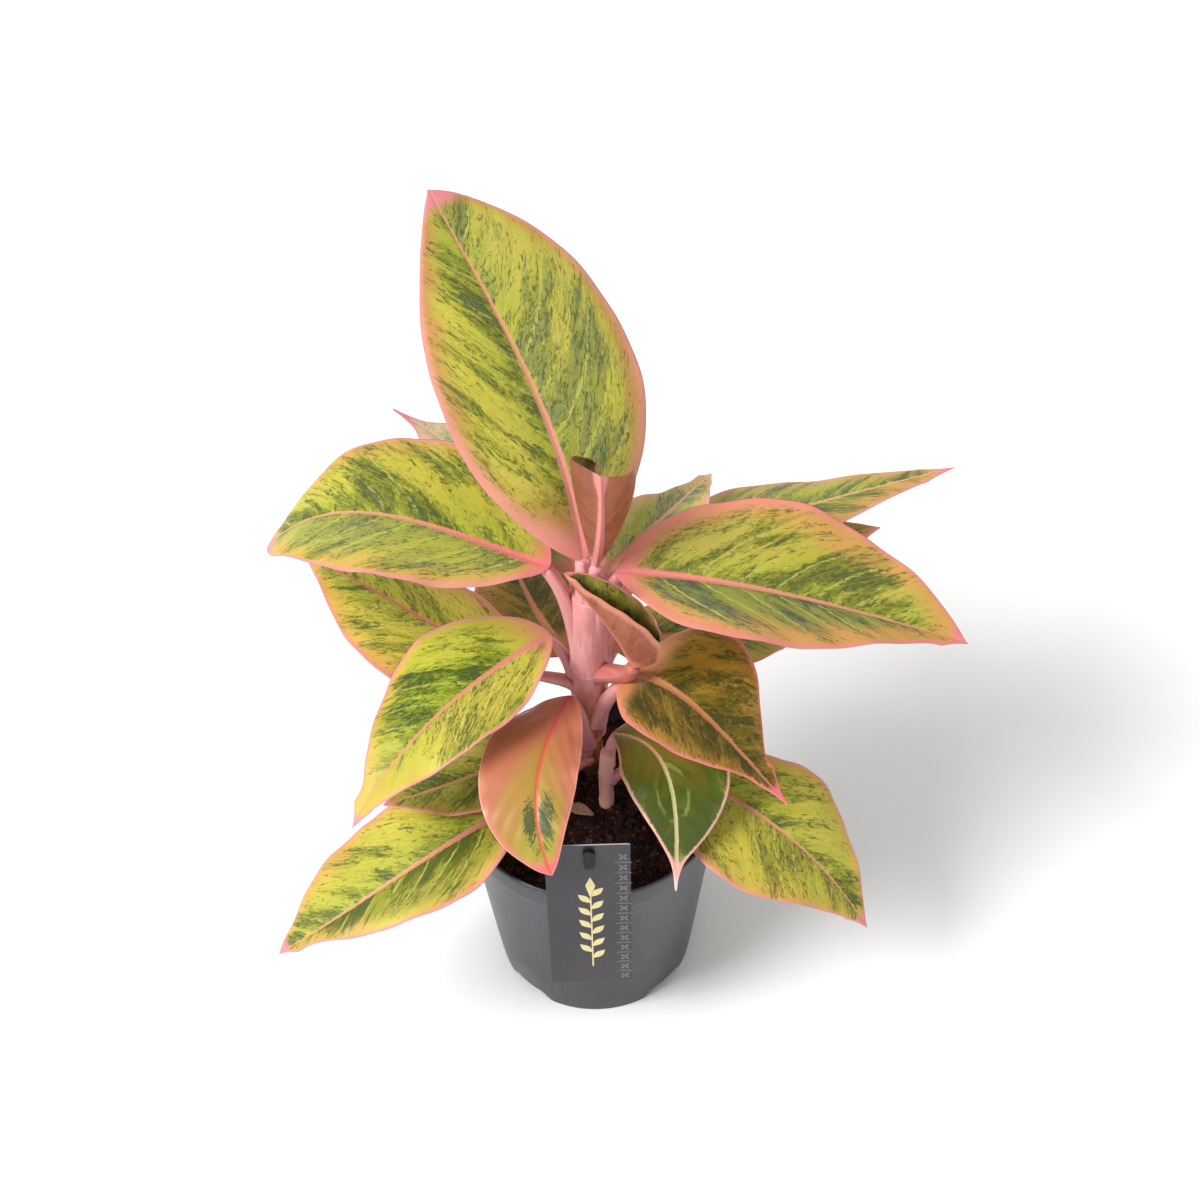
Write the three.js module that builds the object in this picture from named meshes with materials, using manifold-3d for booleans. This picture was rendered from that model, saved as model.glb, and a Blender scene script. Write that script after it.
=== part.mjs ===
import * as THREE from 'three';
import Module from 'manifold-3d';

// A small chinese evergreen of the salmon fantasy kind in its 12 cm nursery pot.
// Millimetres, +Z up. The pot stands on z = 0 with its axis on x = 0, y = 0.
// The photographed front of the plant looks along -Y.

// Pot
const POT_HEIGHT = 108;
const RIM_RADIUS = 60;
const FOOT_RADIUS = 46;
const WALL = 1.4;
const RIM_BAND = 14;

// Soil and stems
const SOIL_LEVEL = 98;
const GAP = 0.3;
const STEM_HOLE_DEPTH = 26;

// Leaf blades
const BLADE_THICKNESS = 0.9;
const RIB_DEPTH = 1.5;

// Tag and its peg
const TAG_WIDTH = 37;
const TAG_HEIGHT = 100;
const TAG_THICKNESS = 0.8;
const TAG_BOTTOM = 46;
const PEG_X = -1.3;

const PLASTIC = { color: 0x4b4b52, roughness: 0.55, metalness: 0 };
const SOIL = { color: 0x2a1f20, roughness: 0.95, metalness: 0 };
const CANE = { color: 0x8a5a4c, roughness: 0.6, metalness: 0 };
const PINK_STEM = { color: 0xd9928a, roughness: 0.5, metalness: 0 };
const LEAF_GREEN = { color: 0x8f9c3c, roughness: 0.45, metalness: 0 };
const LEAF_SALMON = { color: 0xd08a54, roughness: 0.45, metalness: 0 };
const LEAF_DARK = { color: 0x4f6b38, roughness: 0.45, metalness: 0 };
const LEAF_YOUNG = { color: 0xa5644b, roughness: 0.5, metalness: 0 };
const DRY = { color: 0x9c7263, roughness: 0.8, metalness: 0 };
const CARD = { color: 0x4a4a4e, roughness: 0.6, metalness: 0 };
const BLACK = { color: 0x17171a, roughness: 0.5, metalness: 0 };

const wasm = await Module();
wasm.setup();

const plant = new THREE.Group();
plant.name = 'potted_salmon_fantasy_chinese_evergreen';

const V = (p) => new THREE.Vector3(p[0], p[1], p[2]);
const rad = THREE.MathUtils.degToRad;

// Solids made of bare points and triangles.
function solid(points, faces) {
  return new wasm.Manifold(new wasm.Mesh({
    numProp: 3,
    vertProperties: new Float32Array(points.flatMap((p) => [p.x, p.y, p.z])),
    triVerts: new Uint32Array(faces.flat()),
  }));
}

function add(name, body, look) {
  const mesh = body.getMesh();
  const geometry = new THREE.BufferGeometry();
  geometry.setAttribute('position', new THREE.BufferAttribute(new Float32Array(mesh.vertProperties), 3));
  geometry.setIndex(new THREE.BufferAttribute(new Uint32Array(mesh.triVerts), 1));
  geometry.computeVertexNormals();
  const piece = new THREE.Mesh(geometry, new THREE.MeshStandardMaterial(look));
  piece.name = name;
  plant.add(piece);
}

// The cubic curve that passes through four points at its start, thirds and end.
function curveThrough(p) {
  const [a, b, c, d] = p.map(V);
  const mix = (k) => new THREE.Vector3()
    .addScaledVector(a, k[0]).addScaledVector(b, k[1]).addScaledVector(c, k[2]).addScaledVector(d, k[3]);
  return new THREE.CubicBezierCurve3(
    a,
    mix([-5 / 6, 3, -3 / 2, 1 / 3]),
    mix([1 / 3, -3 / 2, 3, -5 / 6]),
    d,
  );
}

// Rings of points joined into one closed skin, the first and last ring capped by a fan.
function skin(rings) {
  const n = rings[0].length;
  const points = rings.flat();
  const faces = [];
  for (let i = 0; i + 1 < rings.length; i++) {
    for (let j = 0; j < n; j++) {
      const k = (j + 1) % n;
      faces.push([i * n + j, i * n + k, (i + 1) * n + k]);
      faces.push([i * n + j, (i + 1) * n + k, (i + 1) * n + j]);
    }
  }
  const middle = (ring) => ring.reduce((s, p) => s.add(p), new THREE.Vector3()).multiplyScalar(1 / n);
  points.push(middle(rings[0]));
  points.push(middle(rings[rings.length - 1]));
  const last = (rings.length - 1) * n;
  for (let j = 0; j < n; j++) {
    const k = (j + 1) % n;
    faces.push([points.length - 2, k, j]);
    faces.push([points.length - 1, last + j, last + k]);
  }
  return solid(points, faces);
}

// A round stalk along a curve, thicker where it leaves the stem.
function stalk(curve, startRadius, endRadius, rows = 7, sides = 8) {
  const rings = [];
  const ahead = curve.getPoint(1).sub(curve.getPoint(0)).normalize();
  const hint = Math.abs(ahead.z) > 0.9 ? new THREE.Vector3(1, 0, 0) : new THREE.Vector3(0, 0, 1);
  for (let i = 0; i <= rows; i++) {
    const t = curve.getTangent(i / rows);
    const side = new THREE.Vector3().crossVectors(t, hint).normalize();
    const up = new THREE.Vector3().crossVectors(side, t);
    const r = startRadius + (endRadius - startRadius) * Math.sqrt(i / rows);
    const ring = [];
    for (let j = 0; j < sides; j++) {
      const a = (2 * Math.PI * j) / sides;
      ring.push(curve.getPoint(i / rows)
        .addScaledVector(side, -r * Math.cos(a))
        .addScaledVector(up, r * Math.sin(a)));
    }
    rings.push(ring);
  }
  return skin(rings);
}

// Half-width of one half of a blade along its midrib, 0 at the base to 1 at the tip:
// a rounded base, widest before the middle and a drawn-out tip.
// The last part of the midrib, its drip, runs out as a narrow point with hollow flanks.
// "cut" leaves out the end of a young blade that is still rolled in.
function outline(s, leaf, k) {
  const widest = (leaf.widest ?? [0.4, 0.4])[k];
  const drip = leaf.drip ?? 0;
  const whole = s * (1 - (leaf.cut ?? 0));
  const u = Math.min(1, whole / (1 - drip));
  const body = (u / widest) ** 0.75 * ((1 - u) / (1 - widest)) ** (0.75 * (1 - widest) / widest);
  const tail = whole > 0.6 ? 0.17 * Math.min(1, (1 - whole) / (drip + 0.08)) ** 1.5 : 0;
  return Math.max(body, tail);
}

// One blade: two faces with the same triangles, a thicker rib below the midrib,
// each half folded and curled about the midrib and waved towards its margin.
// "slant" and "scoop" draw a half's end back, in step with the distance from the midrib and
// with its square, so that the mouth of a rolled blade is oblique.
function blade(leaf) {
  const rows = leaf.rows ?? 10;
  const cols = leaf.cols ?? 3;
  const curve = curveThrough(leaf.midrib);
  const chord = curve.getPoint(1).sub(curve.getPoint(0)).normalize();
  const across = new THREE.Vector3().crossVectors(chord, V(leaf.face ?? [0, 0, 1])).normalize();
  const rings = [];
  for (let i = 0; i <= rows; i++) {
    const even = i / rows;
    const upper = [];
    const lower = [];
    for (let j = -cols; j <= cols; j++) {
      const k = j < 0 ? 0 : 1;
      const sign = j < 0 ? -1 : 1;
      const v = Math.abs(j) / cols;
      const share = 0.5 * even + 0.25 * (1 - Math.cos(Math.PI * even));
      const s = share * (1 - (leaf.slant ?? [0, 0])[k] * v - (leaf.scoop ?? [0, 0])[k] * v * v);
      const t = curve.getTangent(Math.min(s, 1));
      const side = across.clone().addScaledVector(t, -across.dot(t)).normalize();
      const up = new THREE.Vector3().crossVectors(side, t);
      const least = i === 0 ? 2.4 : 1.4 - 0.9 * share;
      const half = Math.max(leaf.width[k] * outline(share, leaf, k), least);
      const steps = 6;
      let out = 0;
      let rise = 0;
      for (let m = 0; m < steps; m++) {
        const bend = rad(leaf.fold[k] - leaf.curl[k] * v * (m + 0.5) / steps);
        out += Math.cos(bend) * v / steps;
        rise += Math.sin(bend) * v / steps;
      }
      const slope = rad(leaf.fold[k] - leaf.curl[k] * v) * (v > 0 ? 1 : 0);
      const wave = (leaf.wave ?? 1.2) * v * v * Math.sin(2 * Math.PI * 2.6 * s + 2.1 * k + (leaf.phase ?? 0));
      const fade = Math.min(1, half / 12);
      const p = curve.getPoint(s)
        .addScaledVector(side, sign * half * out)
        .addScaledVector(up, half * rise + wave * fade);
      const normal = up.clone().multiplyScalar(Math.cos(slope)).addScaledVector(side, -sign * Math.sin(slope));
      const rib = j === 0 ? RIB_DEPTH * Math.min(1, half / 10) : 0;
      upper.push(p.clone().addScaledVector(normal, BLADE_THICKNESS / 2));
      lower.push(p.clone().addScaledVector(normal, -BLADE_THICKNESS / 2 - rib));
    }
    rings.push([upper, lower]);
  }
  return sheet(rings);
}

// Upper and lower rows of points closed into a thin solid, both faces triangulated alike.
function sheet(rings) {
  const n = rings[0][0].length;
  const points = rings.flatMap(([upper, lower]) => [...upper, ...lower]);
  const up = (i, j) => i * 2 * n + j;
  const low = (i, j) => i * 2 * n + n + j;
  const faces = [];
  for (let i = 0; i + 1 < rings.length; i++) {
    for (let j = 0; j + 1 < n; j++) {
      faces.push([up(i, j), up(i, j + 1), up(i + 1, j + 1)], [up(i, j), up(i + 1, j + 1), up(i + 1, j)]);
      faces.push([low(i, j), low(i + 1, j + 1), low(i, j + 1)], [low(i, j), low(i + 1, j), low(i + 1, j + 1)]);
    }
    faces.push([up(i, 0), up(i + 1, 0), low(i + 1, 0)], [up(i, 0), low(i + 1, 0), low(i, 0)]);
    faces.push([up(i, n - 1), low(i + 1, n - 1), up(i + 1, n - 1)], [up(i, n - 1), low(i, n - 1), low(i + 1, n - 1)]);
  }
  const last = rings.length - 1;
  for (let j = 0; j + 1 < n; j++) {
    faces.push([up(0, j), low(0, j), low(0, j + 1)], [up(0, j), low(0, j + 1), up(0, j + 1)]);
    faces.push([up(last, j), low(last, j + 1), low(last, j)], [up(last, j), up(last, j + 1), low(last, j + 1)]);
  }
  return solid(points, faces);
}

// A turned solid: a profile of [radius, height] from the axis round and back to the axis.
function turned(profile, segments) {
  const points = [];
  const faces = [];
  const at = profile.map(([r, z]) => {
    const first = points.length;
    const count = r === 0 ? 1 : segments;
    for (let j = 0; j < count; j++) {
      const a = (2 * Math.PI * j) / segments;
      points.push(new THREE.Vector3(r * Math.cos(a), r * Math.sin(a), z));
    }
    return (j) => first + (count === 1 ? 0 : j % segments);
  });
  for (let i = 0; i + 1 < profile.length; i++) {
    for (let j = 0; j < segments; j++) {
      const [a, b, c, d] = [at[i](j), at[i](j + 1), at[i + 1](j + 1), at[i + 1](j)];
      if (a !== b) faces.push([a, b, c]);
      if (c !== d) faces.push([a, c, d]);
    }
  }
  return solid(points, faces);
}

// A straight round bar from one point to another.
function bar(from, to, radius, sides = 16) {
  return stalk(new THREE.LineCurve3(V(from), V(to)), radius, radius, 1, sides);
}

// A flat board in the XZ plane, given by its outline seen from the front.
function board(outlinePoints, back, front) {
  const ring = (y) => outlinePoints.map(([x, z]) => new THREE.Vector3(x, y, z));
  return skin([ring(back), ring(front)]);
}

// Pot: thin moulded plastic with a stiff rim band, a flat foot in the middle
// and an outer foot ring with four arched drain notches.
const bandBottom = POT_HEIGHT - RIM_BAND;
const wallTop = RIM_RADIUS - 2.6;
let pot = turned([
  [0, 0], [33, 0], [34.5, 6.5], [FOOT_RADIUS - 2.6, 6.5], [FOOT_RADIUS - 2.4, 0], [FOOT_RADIUS, 0],
  [FOOT_RADIUS + 0.6, 2], [wallTop, bandBottom], [RIM_RADIUS - 1.2, bandBottom + 1],
  [RIM_RADIUS, POT_HEIGHT - 1], [RIM_RADIUS - 0.5, POT_HEIGHT], [RIM_RADIUS - 1.5, POT_HEIGHT],
  [RIM_RADIUS - 2.6, bandBottom + 1], [wallTop - WALL, bandBottom - 1],
  [FOOT_RADIUS + 1 - WALL, 8.2], [33.4, 8.2], [31.8, 1.7], [0, 1.7],
], 40);
for (let i = 0; i < 4; i++) {
  const a = rad(45 + 90 * i);
  const out = (r) => [r * Math.cos(a), r * Math.sin(a), 6 - 17];
  pot = pot.subtract(bar(out(FOOT_RADIUS - 9), out(FOOT_RADIUS + 9), 17, 32));
}
add('pot', pot, PLASTIC);

// Stems: a cane with its bundle of sheaths, and a side shoot in front of it.
const STEM = [[-1, 23, SOIL_LEVEL - 24], [1, 22, 128], [1, 19, 175], [3, 15, 222]];
const SHOOT = [[7, 0, SOIL_LEVEL - 24], [7, 1, 98], [7, 2, 116], [8, 3, 132]];
const stemCurve = curveThrough(STEM);
const shootCurve = curveThrough(SHOOT);
const stemRadius = (z) => THREE.MathUtils.clamp(4.6 + (z - 122) * 0.076, 4.6, 8.6);

function stem(curve, radius, rows, sides) {
  const rings = [];
  for (let i = 0; i <= rows; i++) {
    const p = curve.getPoint(i / rows);
    const ring = [];
    for (let j = 0; j < sides; j++) {
      const a = (2 * Math.PI * j) / sides;
      ring.push(new THREE.Vector3(p.x + radius(p.z) * Math.cos(a), p.y + radius(p.z) * Math.sin(a), p.z));
    }
    rings.push(ring);
  }
  return skin(rings);
}

const mainStem = stem(stemCurve, stemRadius, 9, 12);
const sideShoot = stem(shootCurve, () => 3.4, 4, 10);
const mainStemRoom = stem(stemCurve, (z) => stemRadius(z) + GAP + 0.15, 9, 12);
const sideShootRoom = stem(shootCurve, () => 3.4 + GAP + 0.1, 4, 10);
add('main_stem', mainStem, CANE);
add('side_shoot', sideShoot, PINK_STEM);

// Leaves. Each midrib passes through four points at its start, thirds and end. Fold lifts the
// left and right half of a blade, curl turns their margins down. "on" is the stem that carries
// the leaf and the height at which its sheath leaves it; sheath and neck are the radii of its
// stalk at the stem and at the blade.
const LEAVES = [
  { name: 'leaf_spear', midrib: [[5, 5, 247], [7, 1, 265], [8, -1, 283], [8, 0, 302]], width: [28, 40], face: [0, 1, 0],
    widest: [0.74, 0.76], cut: 0.16, fold: [12, 15], curl: [-90, -145], slant: [0.17, -0.34], scoop: [0, 0.68],
    wave: 0, rows: 8, cols: 5,
    neck: 2.8, sheath: 5.2, on: ['main', 200], look: LEAF_YOUNG },
  { name: 'leaf_top', midrib: [[0, 13, 243], [-12, 45, 287], [-34, 82, 323], [-60, 115, 360]], width: [41, 50],
    widest: [0.44, 0.49], fold: [8, 8], curl: [20, 20], neck: 3.5, sheath: 5.4, on: ['main', 190], look: LEAF_SALMON },
  { name: 'leaf_right', midrib: [[13, 6, 243], [63, 2, 237], [112, -2, 224], [162, -6, 206]], width: [42, 37],
    widest: [0.45, 0.36], fold: [30, 14], curl: [10, 10], neck: 3.3, sheath: 5.2, on: ['main', 184], look: LEAF_SALMON },
  { name: 'leaf_left', midrib: [[-14, 15, 238], [-55, 28, 247], [-98, 38, 251], [-138, 46, 224]], width: [33, 47],
    widest: [0.52, 0.46], fold: [0, 12], curl: [10, 10], neck: 3.0, sheath: 5.2, on: ['main', 178], look: LEAF_SALMON },
  { name: 'leaf_back_left', midrib: [[-4, 24, 226], [-24, 52, 238], [-56, 85, 244], [-84, 107, 250]], width: [25, 28],
    drip: 0.12, fold: [10, 10], curl: [20, 20], neck: 2.6, on: ['main', 170], look: LEAF_GREEN },
  { name: 'leaf_back', midrib: [[8, 20, 229], [26, 36, 235], [43, 54, 238], [57, 70, 239]], width: [22, 22],
    widest: [0.3, 0.36], fold: [10, 10], curl: [20, 20], rows: 7, cols: 2, neck: 2.6, on: ['main', 164], look: LEAF_GREEN },
  { name: 'leaf_back_right', midrib: [[20, 20, 226], [59, 42, 229], [109, 62, 229], [167, 84, 226]], width: [32, 20],
    widest: [0.37, 0.36], fold: [-5, -10], curl: [20, 20], neck: 2.6, on: ['main', 158], look: LEAF_SALMON },
  { name: 'leaf_under_right', midrib: [[15, 25, 216], [54, 40, 215], [95, 53, 212], [132, 60, 213]], width: [24, 24],
    fold: [5, 5], curl: [20, 20], rows: 7, cols: 2, neck: 2.6, on: ['main', 156], look: LEAF_GREEN },
  { name: 'leaf_rolled', midrib: [[20.3, -2, 193.3], [13, -5, 216], [3, -8, 238], [-8, -7, 256]], width: [21, 25],
    face: [0.74, -0.3, 0.6], widest: [0.3, 0.52], fold: [42, 45], curl: [-80, -90], wave: 0, rows: 7, cols: 3,
    rise: 0.2, neck: 3.6, sheath: 5.6, on: ['main', 165], look: LEAF_YOUNG },
  { name: 'leaf_front_left', midrib: [[-15, 22, 190], [-50, -2, 184], [-79, -28, 173], [-102, -52, 151]], width: [28, 35],
    widest: [0.38, 0.32], fold: [10, 10], curl: [10, 10], on: ['main', 134], look: LEAF_GREEN },
  { name: 'leaf_olive', midrib: [[16, 8, 177], [40, -9, 182], [64, -28, 167], [85, -46, 151]], width: [44, 28],
    widest: [0.33, 0.35], drip: 0.1, fold: [5, 5], curl: [10, 10], neck: 3.2, sheath: 5.2, on: ['main', 128], look: LEAF_DARK },
  { name: 'leaf_mid_left', midrib: [[-25, 20, 170], [-61, 40, 173], [-95, 58, 184], [-127, 74, 190]], width: [37, 28],
    fold: [5, 5], curl: [15, 15], on: ['main', 148], look: LEAF_GREEN },
  { name: 'leaf_mid_back', midrib: [[-8, 38, 160], [-22, 64, 159], [-32, 93, 158], [-38, 122, 154]], width: [28, 28],
    fold: [5, 5], curl: [15, 15], rows: 7, cols: 2, on: ['main', 136], look: LEAF_DARK },
  { name: 'leaf_mid_right', midrib: [[11, 30, 172], [40, 37, 172], [72, 44, 164], [98, 52, 156]], width: [24, 24],
    fold: [5, 5], curl: [15, 15], rows: 7, cols: 2, on: ['main', 116], look: LEAF_GREEN },
  { name: 'leaf_salmon_front', midrib: [[-7, 8, 165], [-18, -22, 169], [-23, -50, 162], [-17, -72, 140]], width: [17, 26],
    widest: [0.5, 0.5], fold: [5, 5], curl: [15, 15], on: ['main', 112], look: LEAF_SALMON },
  { name: 'leaf_small_left', midrib: [[-13, 13, 129], [-40, -1, 130], [-67, -14, 131], [-92, -26, 134]], width: [22, 28],
    fold: [5, 5], curl: [15, 15], rows: 7, cols: 2, on: ['main', 108], look: LEAF_DARK },
  { name: 'leaf_low_left', midrib: [[-36, -20, 122], [-71, -41, 117], [-107, -56, 100], [-141, -66, 81]], width: [28, 36],
    widest: [0.32, 0.46], fold: [5, 5], curl: [10, 10], rise: 0.12, on: ['main', 104], look: LEAF_GREEN },
  { name: 'leaf_dark_front', midrib: [[10, 7, 140], [32, -12, 141], [37, -40, 131], [36, -64, 116]], width: [29, 20],
    widest: [0.4, 0.4], drip: 0.12, fold: [5, 5], curl: [10, 10], on: ['shoot', 118], look: LEAF_DARK },
  { name: 'leaf_low_right', midrib: [[42, 4, 118], [73, -20, 115], [99, -38, 102], [123, -56, 74]], width: [36, 39],
    widest: [0.4, 0.38], fold: [5, 5], curl: [10, 10], on: ['shoot', 108], look: LEAF_GREEN },
];

// The petiole and its sheath, from the stem up and out to the base of the blade.
function petiole(leaf, grow) {
  const [carrier, height] = leaf.on;
  const curve = carrier === 'main' ? stemCurve : shootCurve;
  const path = carrier === 'main' ? STEM : SHOOT;
  const share = (height - path[0][2]) / (path[3][2] - path[0][2]);
  const axis = curve.getPoint(share);
  const rib = curveThrough(leaf.midrib);
  const base = rib.getPoint(0);
  const away = base.clone().sub(axis).setZ(0).normalize();
  const reach = base.distanceTo(axis);
  const heading = rib.getTangent(0);
  const big = carrier === 'main' ? 1 : 0.7;
  const start = axis.clone().addScaledVector(away, 3.2 * big);
  const end = base.clone().addScaledVector(heading, 2.5).add(new THREE.Vector3(0, 0, -1.2));
  const line = new THREE.CubicBezierCurve3(
    start,
    start.clone().add(new THREE.Vector3(0, 0, (leaf.rise ?? 0.42) * reach)).addScaledVector(away, 0.06 * reach),
    end.clone().addScaledVector(heading, -0.16 * reach).add(new THREE.Vector3(0, 0, -0.16 * reach)),
    end,
  );
  return stalk(line, (leaf.sheath ?? 4.6) * big + grow, (leaf.neck ?? 2.1) + grow, 6, 8);
}

let taken = mainStemRoom.add(sideShootRoom);
for (const leaf of LEAVES) {
  const whole = blade(leaf).add(petiole(leaf, 0)).subtract(taken);
  const parts = whole.decompose().sort((a, b) => b.volume() - a.volume());
  add(leaf.name, parts[0], leaf.look);
  taken = taken.add(petiole(leaf, GAP));
}

// Soil: a lumpy top, and plain holes for the stems and the peg.
const inner = (z) => FOOT_RADIUS + 1 - WALL + ((wallTop - FOOT_RADIUS - 1) * (z - 8.2)) / (bandBottom - 9.2);
const lump = (x, y) => 1.3 * Math.sin(0.31 * x + 1.7 * Math.sin(0.21 * y)) * Math.cos(0.27 * y - 0.9 * Math.sin(0.33 * x));
function soilBody() {
  const segments = 36;
  const ring = (r, z, bumpy) => Array.from({ length: segments }, (_, j) => {
    const a = (2 * Math.PI * j) / segments;
    const [x, y] = [r * Math.cos(a), r * Math.sin(a)];
    return new THREE.Vector3(x, y, z + (bumpy ? lump(x, y) : 0));
  });
  const rings = [ring(inner(8.5) - GAP, 8.5), ring(inner(93) - GAP - 0.2, 93)];
  for (const r of [56, 46, 36, 25, 13]) rings.push(ring(Math.min(r, inner(93) - 0.6), SOIL_LEVEL - (r > 50 ? 2 : 0), true));
  return skin(rings);
}
let soil = soilBody();
const hole = (x, y, radius) => bar([x, y, SOIL_LEVEL - STEM_HOLE_DEPTH], [x, y, SOIL_LEVEL + 8], radius, 16);
soil = soil.subtract(hole(-0.4, 22.7, 5.6)).subtract(hole(7, 0.6, 4.3)).subtract(hole(PEG_X, -50, 2.2));
add('soil', soil, SOIL);

// Dry scrap of an old leaf that lies on the soil.
add('dry_scrap', blade({ midrib: [[-11, -1, 99.4], [-7, -3, 100.4], [-3, -5, 100.4], [1, -7, 99.4]], width: [3.5, 3.5],
  fold: [15, 15], curl: [30, 30], wave: 0, rows: 5, cols: 2 }), DRY);

// Tag: a plain card on a black peg that stands in the soil and hooks through the tag's hole.
const tagFront = -RIM_RADIUS - GAP - TAG_THICKNESS;
const half = TAG_WIDTH / 2;
const corner = 1;
const tagOutline = [
  [-half + corner, 0], [half - corner, 0], [half, corner], [half, TAG_HEIGHT - corner],
  [half - corner, TAG_HEIGHT], [-half + corner, TAG_HEIGHT], [-half, TAG_HEIGHT - corner], [-half, corner],
].map(([x, z]) => [x - 2, z + TAG_BOTTOM]);
const tagHoleZ = TAG_BOTTOM + TAG_HEIGHT - 7;
const tag = board(tagOutline, -RIM_RADIUS - GAP, tagFront)
  .subtract(bar([PEG_X, -RIM_RADIUS + 3, tagHoleZ], [PEG_X, -RIM_RADIUS - 5, tagHoleZ], 2.3, 12));
add('tag', tag, CARD);
const pegLine = new THREE.CatmullRomCurve3([
  V([PEG_X, -50, SOIL_LEVEL - 24]), V([PEG_X, -50, 118]), V([PEG_X, -51, tagHoleZ - 5]),
  V([PEG_X, -56, tagHoleZ]), V([PEG_X, -RIM_RADIUS - 3, tagHoleZ]),
]);
const pegHead = board([[-2.6, -7], [2.6, -7], [2.6, 5], [-2.6, 5]].map(([x, z]) => [x + PEG_X, z + tagHoleZ]),
  tagFront - GAP, tagFront - GAP - 2);
add('peg', stalk(pegLine, 1.7, 1.7, 12, 10).add(pegHead), BLACK);

export default plant;
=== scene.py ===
import math

import bpy
from mathutils import Matrix, Vector


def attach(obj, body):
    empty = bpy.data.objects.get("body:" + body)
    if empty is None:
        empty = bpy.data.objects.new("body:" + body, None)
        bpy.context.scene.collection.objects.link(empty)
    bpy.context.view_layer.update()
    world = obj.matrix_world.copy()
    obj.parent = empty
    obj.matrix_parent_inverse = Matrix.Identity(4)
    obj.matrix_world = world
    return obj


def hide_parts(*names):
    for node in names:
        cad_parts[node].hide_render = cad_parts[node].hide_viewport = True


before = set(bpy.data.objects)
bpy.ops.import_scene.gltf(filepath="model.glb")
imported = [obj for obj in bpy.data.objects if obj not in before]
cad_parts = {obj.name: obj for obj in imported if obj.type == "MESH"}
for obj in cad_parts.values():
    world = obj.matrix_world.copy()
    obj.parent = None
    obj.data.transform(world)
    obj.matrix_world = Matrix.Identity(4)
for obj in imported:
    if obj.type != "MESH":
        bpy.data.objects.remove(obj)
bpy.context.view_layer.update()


# Pot. A 12 cm nursery pot, injection moulded in dark grey plastic: a thin tapered
# wall under a stiff rim band, a flat foot in the middle and an outer foot ring with
# four arched drain notches. The plant stands in it, in its potting soil.

class Wire:
    """A socket in a node tree. Sums on wires add the Math or Vector Math nodes they need."""

    def __init__(self, socket):
        self.socket = socket

    def make(self, kind, settings=None, inputs=None, out=0):
        """A new node in this wire's tree: its settings first, then values or wires by socket."""
        tree = self.socket.id_data
        node = tree.nodes.new(kind)
        for name, value in (settings or {}).items():
            setattr(node, name, value)
        for name, value in (inputs or {}).items():
            if isinstance(value, Wire):
                tree.links.new(value.socket, node.inputs[name])
            else:
                node.inputs[name].default_value = value
        return Wire(node.outputs[out])

    def has_axes(self):
        return self.socket.type == "VECTOR"

    def with_other(self, operation, other, swapped=False):
        """Both numbers through Math, both vectors through Vector Math, one of each through Scale."""
        first, second = (other, self) if swapped else (self, other)
        other_axes = other.has_axes() if isinstance(other, Wire) else not isinstance(other, (int, float))
        if not self.has_axes() and not other_axes:
            return self.make("ShaderNodeMath", {"operation": operation}, {0: first, 1: second})
        if self.has_axes() and other_axes:
            return self.make("ShaderNodeVectorMath", {"operation": operation}, {0: first, 1: second})
        long, short = (self, other) if self.has_axes() else (other, self)
        return self.make("ShaderNodeVectorMath", {"operation": "SCALE"}, {0: long, "Scale": short})

    def __add__(self, other):
        return self.with_other("ADD", other)

    def __radd__(self, other):
        return self.with_other("ADD", other, True)

    def __sub__(self, other):
        return self.with_other("SUBTRACT", other)

    def __rsub__(self, other):
        return self.with_other("SUBTRACT", other, True)

    def __mul__(self, other):
        return self.with_other("MULTIPLY", other)

    def __rmul__(self, other):
        return self.with_other("MULTIPLY", other, True)

    def __truediv__(self, other):
        return self.with_other("DIVIDE", other)

    def __rtruediv__(self, other):
        return self.with_other("DIVIDE", other, True)

    def __pow__(self, other):
        return self.with_other("POWER", other)

    def math(self, operation, *others):
        return self.make("ShaderNodeMath", {"operation": operation}, dict(enumerate((self,) + others)))

    def vector(self, operation, *others, out=0):
        inputs = dict(enumerate((self,) + others))
        return self.make("ShaderNodeVectorMath", {"operation": operation}, inputs, out)

    def axis(self, number):
        return self.make("ShaderNodeSeparateXYZ", None, {0: self}, number)

    def noise(self, scale, detail=2.0, roughness=0.5, out=0):
        """Cloudy noise over this vector, mostly from 0.3 to 0.7."""
        return self.make("ShaderNodeTexNoise", None, {
            "Vector": self, "Scale": scale, "Detail": detail, "Roughness": roughness}, out)

    def step(self, low, high):
        """0 at low, 1 at high and smooth in between."""
        return self.make("ShaderNodeMapRange", {"interpolation_type": "SMOOTHSTEP"},
                         {"Value": self, 1: low, 2: high})

    def paint(self, under, over):
        """The colour under, covered by the colour over where this wire is 1. Plain ones are 0 to 255."""
        under, over = (tone if isinstance(tone, Wire) else screen(*tone) for tone in (under, over))
        return self.make("ShaderNodeMix", {"data_type": "RGBA"}, {0: self, 6: under, 7: over}, 2)

    def relief(self, distance):
        """This height, times a distance in metres, as a Normal."""
        return self.make("ShaderNodeBump", None, {"Height": self, "Distance": distance})


def screen(red, green, blue):
    """A colour as seen on a screen, 0 to 255, for a socket."""
    def linear(value):
        return value / 3294.6 if value < 10.3 else ((value / 255.0 + 0.055) / 1.055) ** 2.4
    return (linear(red), linear(green), linear(blue), 1.0)


def finish(name, roughness, specular=0.5, coat=0.0):
    """A new material, its shader, and its place on the object as a wire."""
    material = bpy.data.materials.new(name)
    material.use_nodes = True
    shader = material.node_tree.nodes["Principled BSDF"]
    shader.inputs["Roughness"].default_value = roughness
    shader.inputs["Specular IOR Level"].default_value = specular
    shader.inputs["Coat Weight"].default_value = coat
    place = Wire(material.node_tree.nodes.new("ShaderNodeTexCoord").outputs["Object"])
    return material, shader, place


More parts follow.
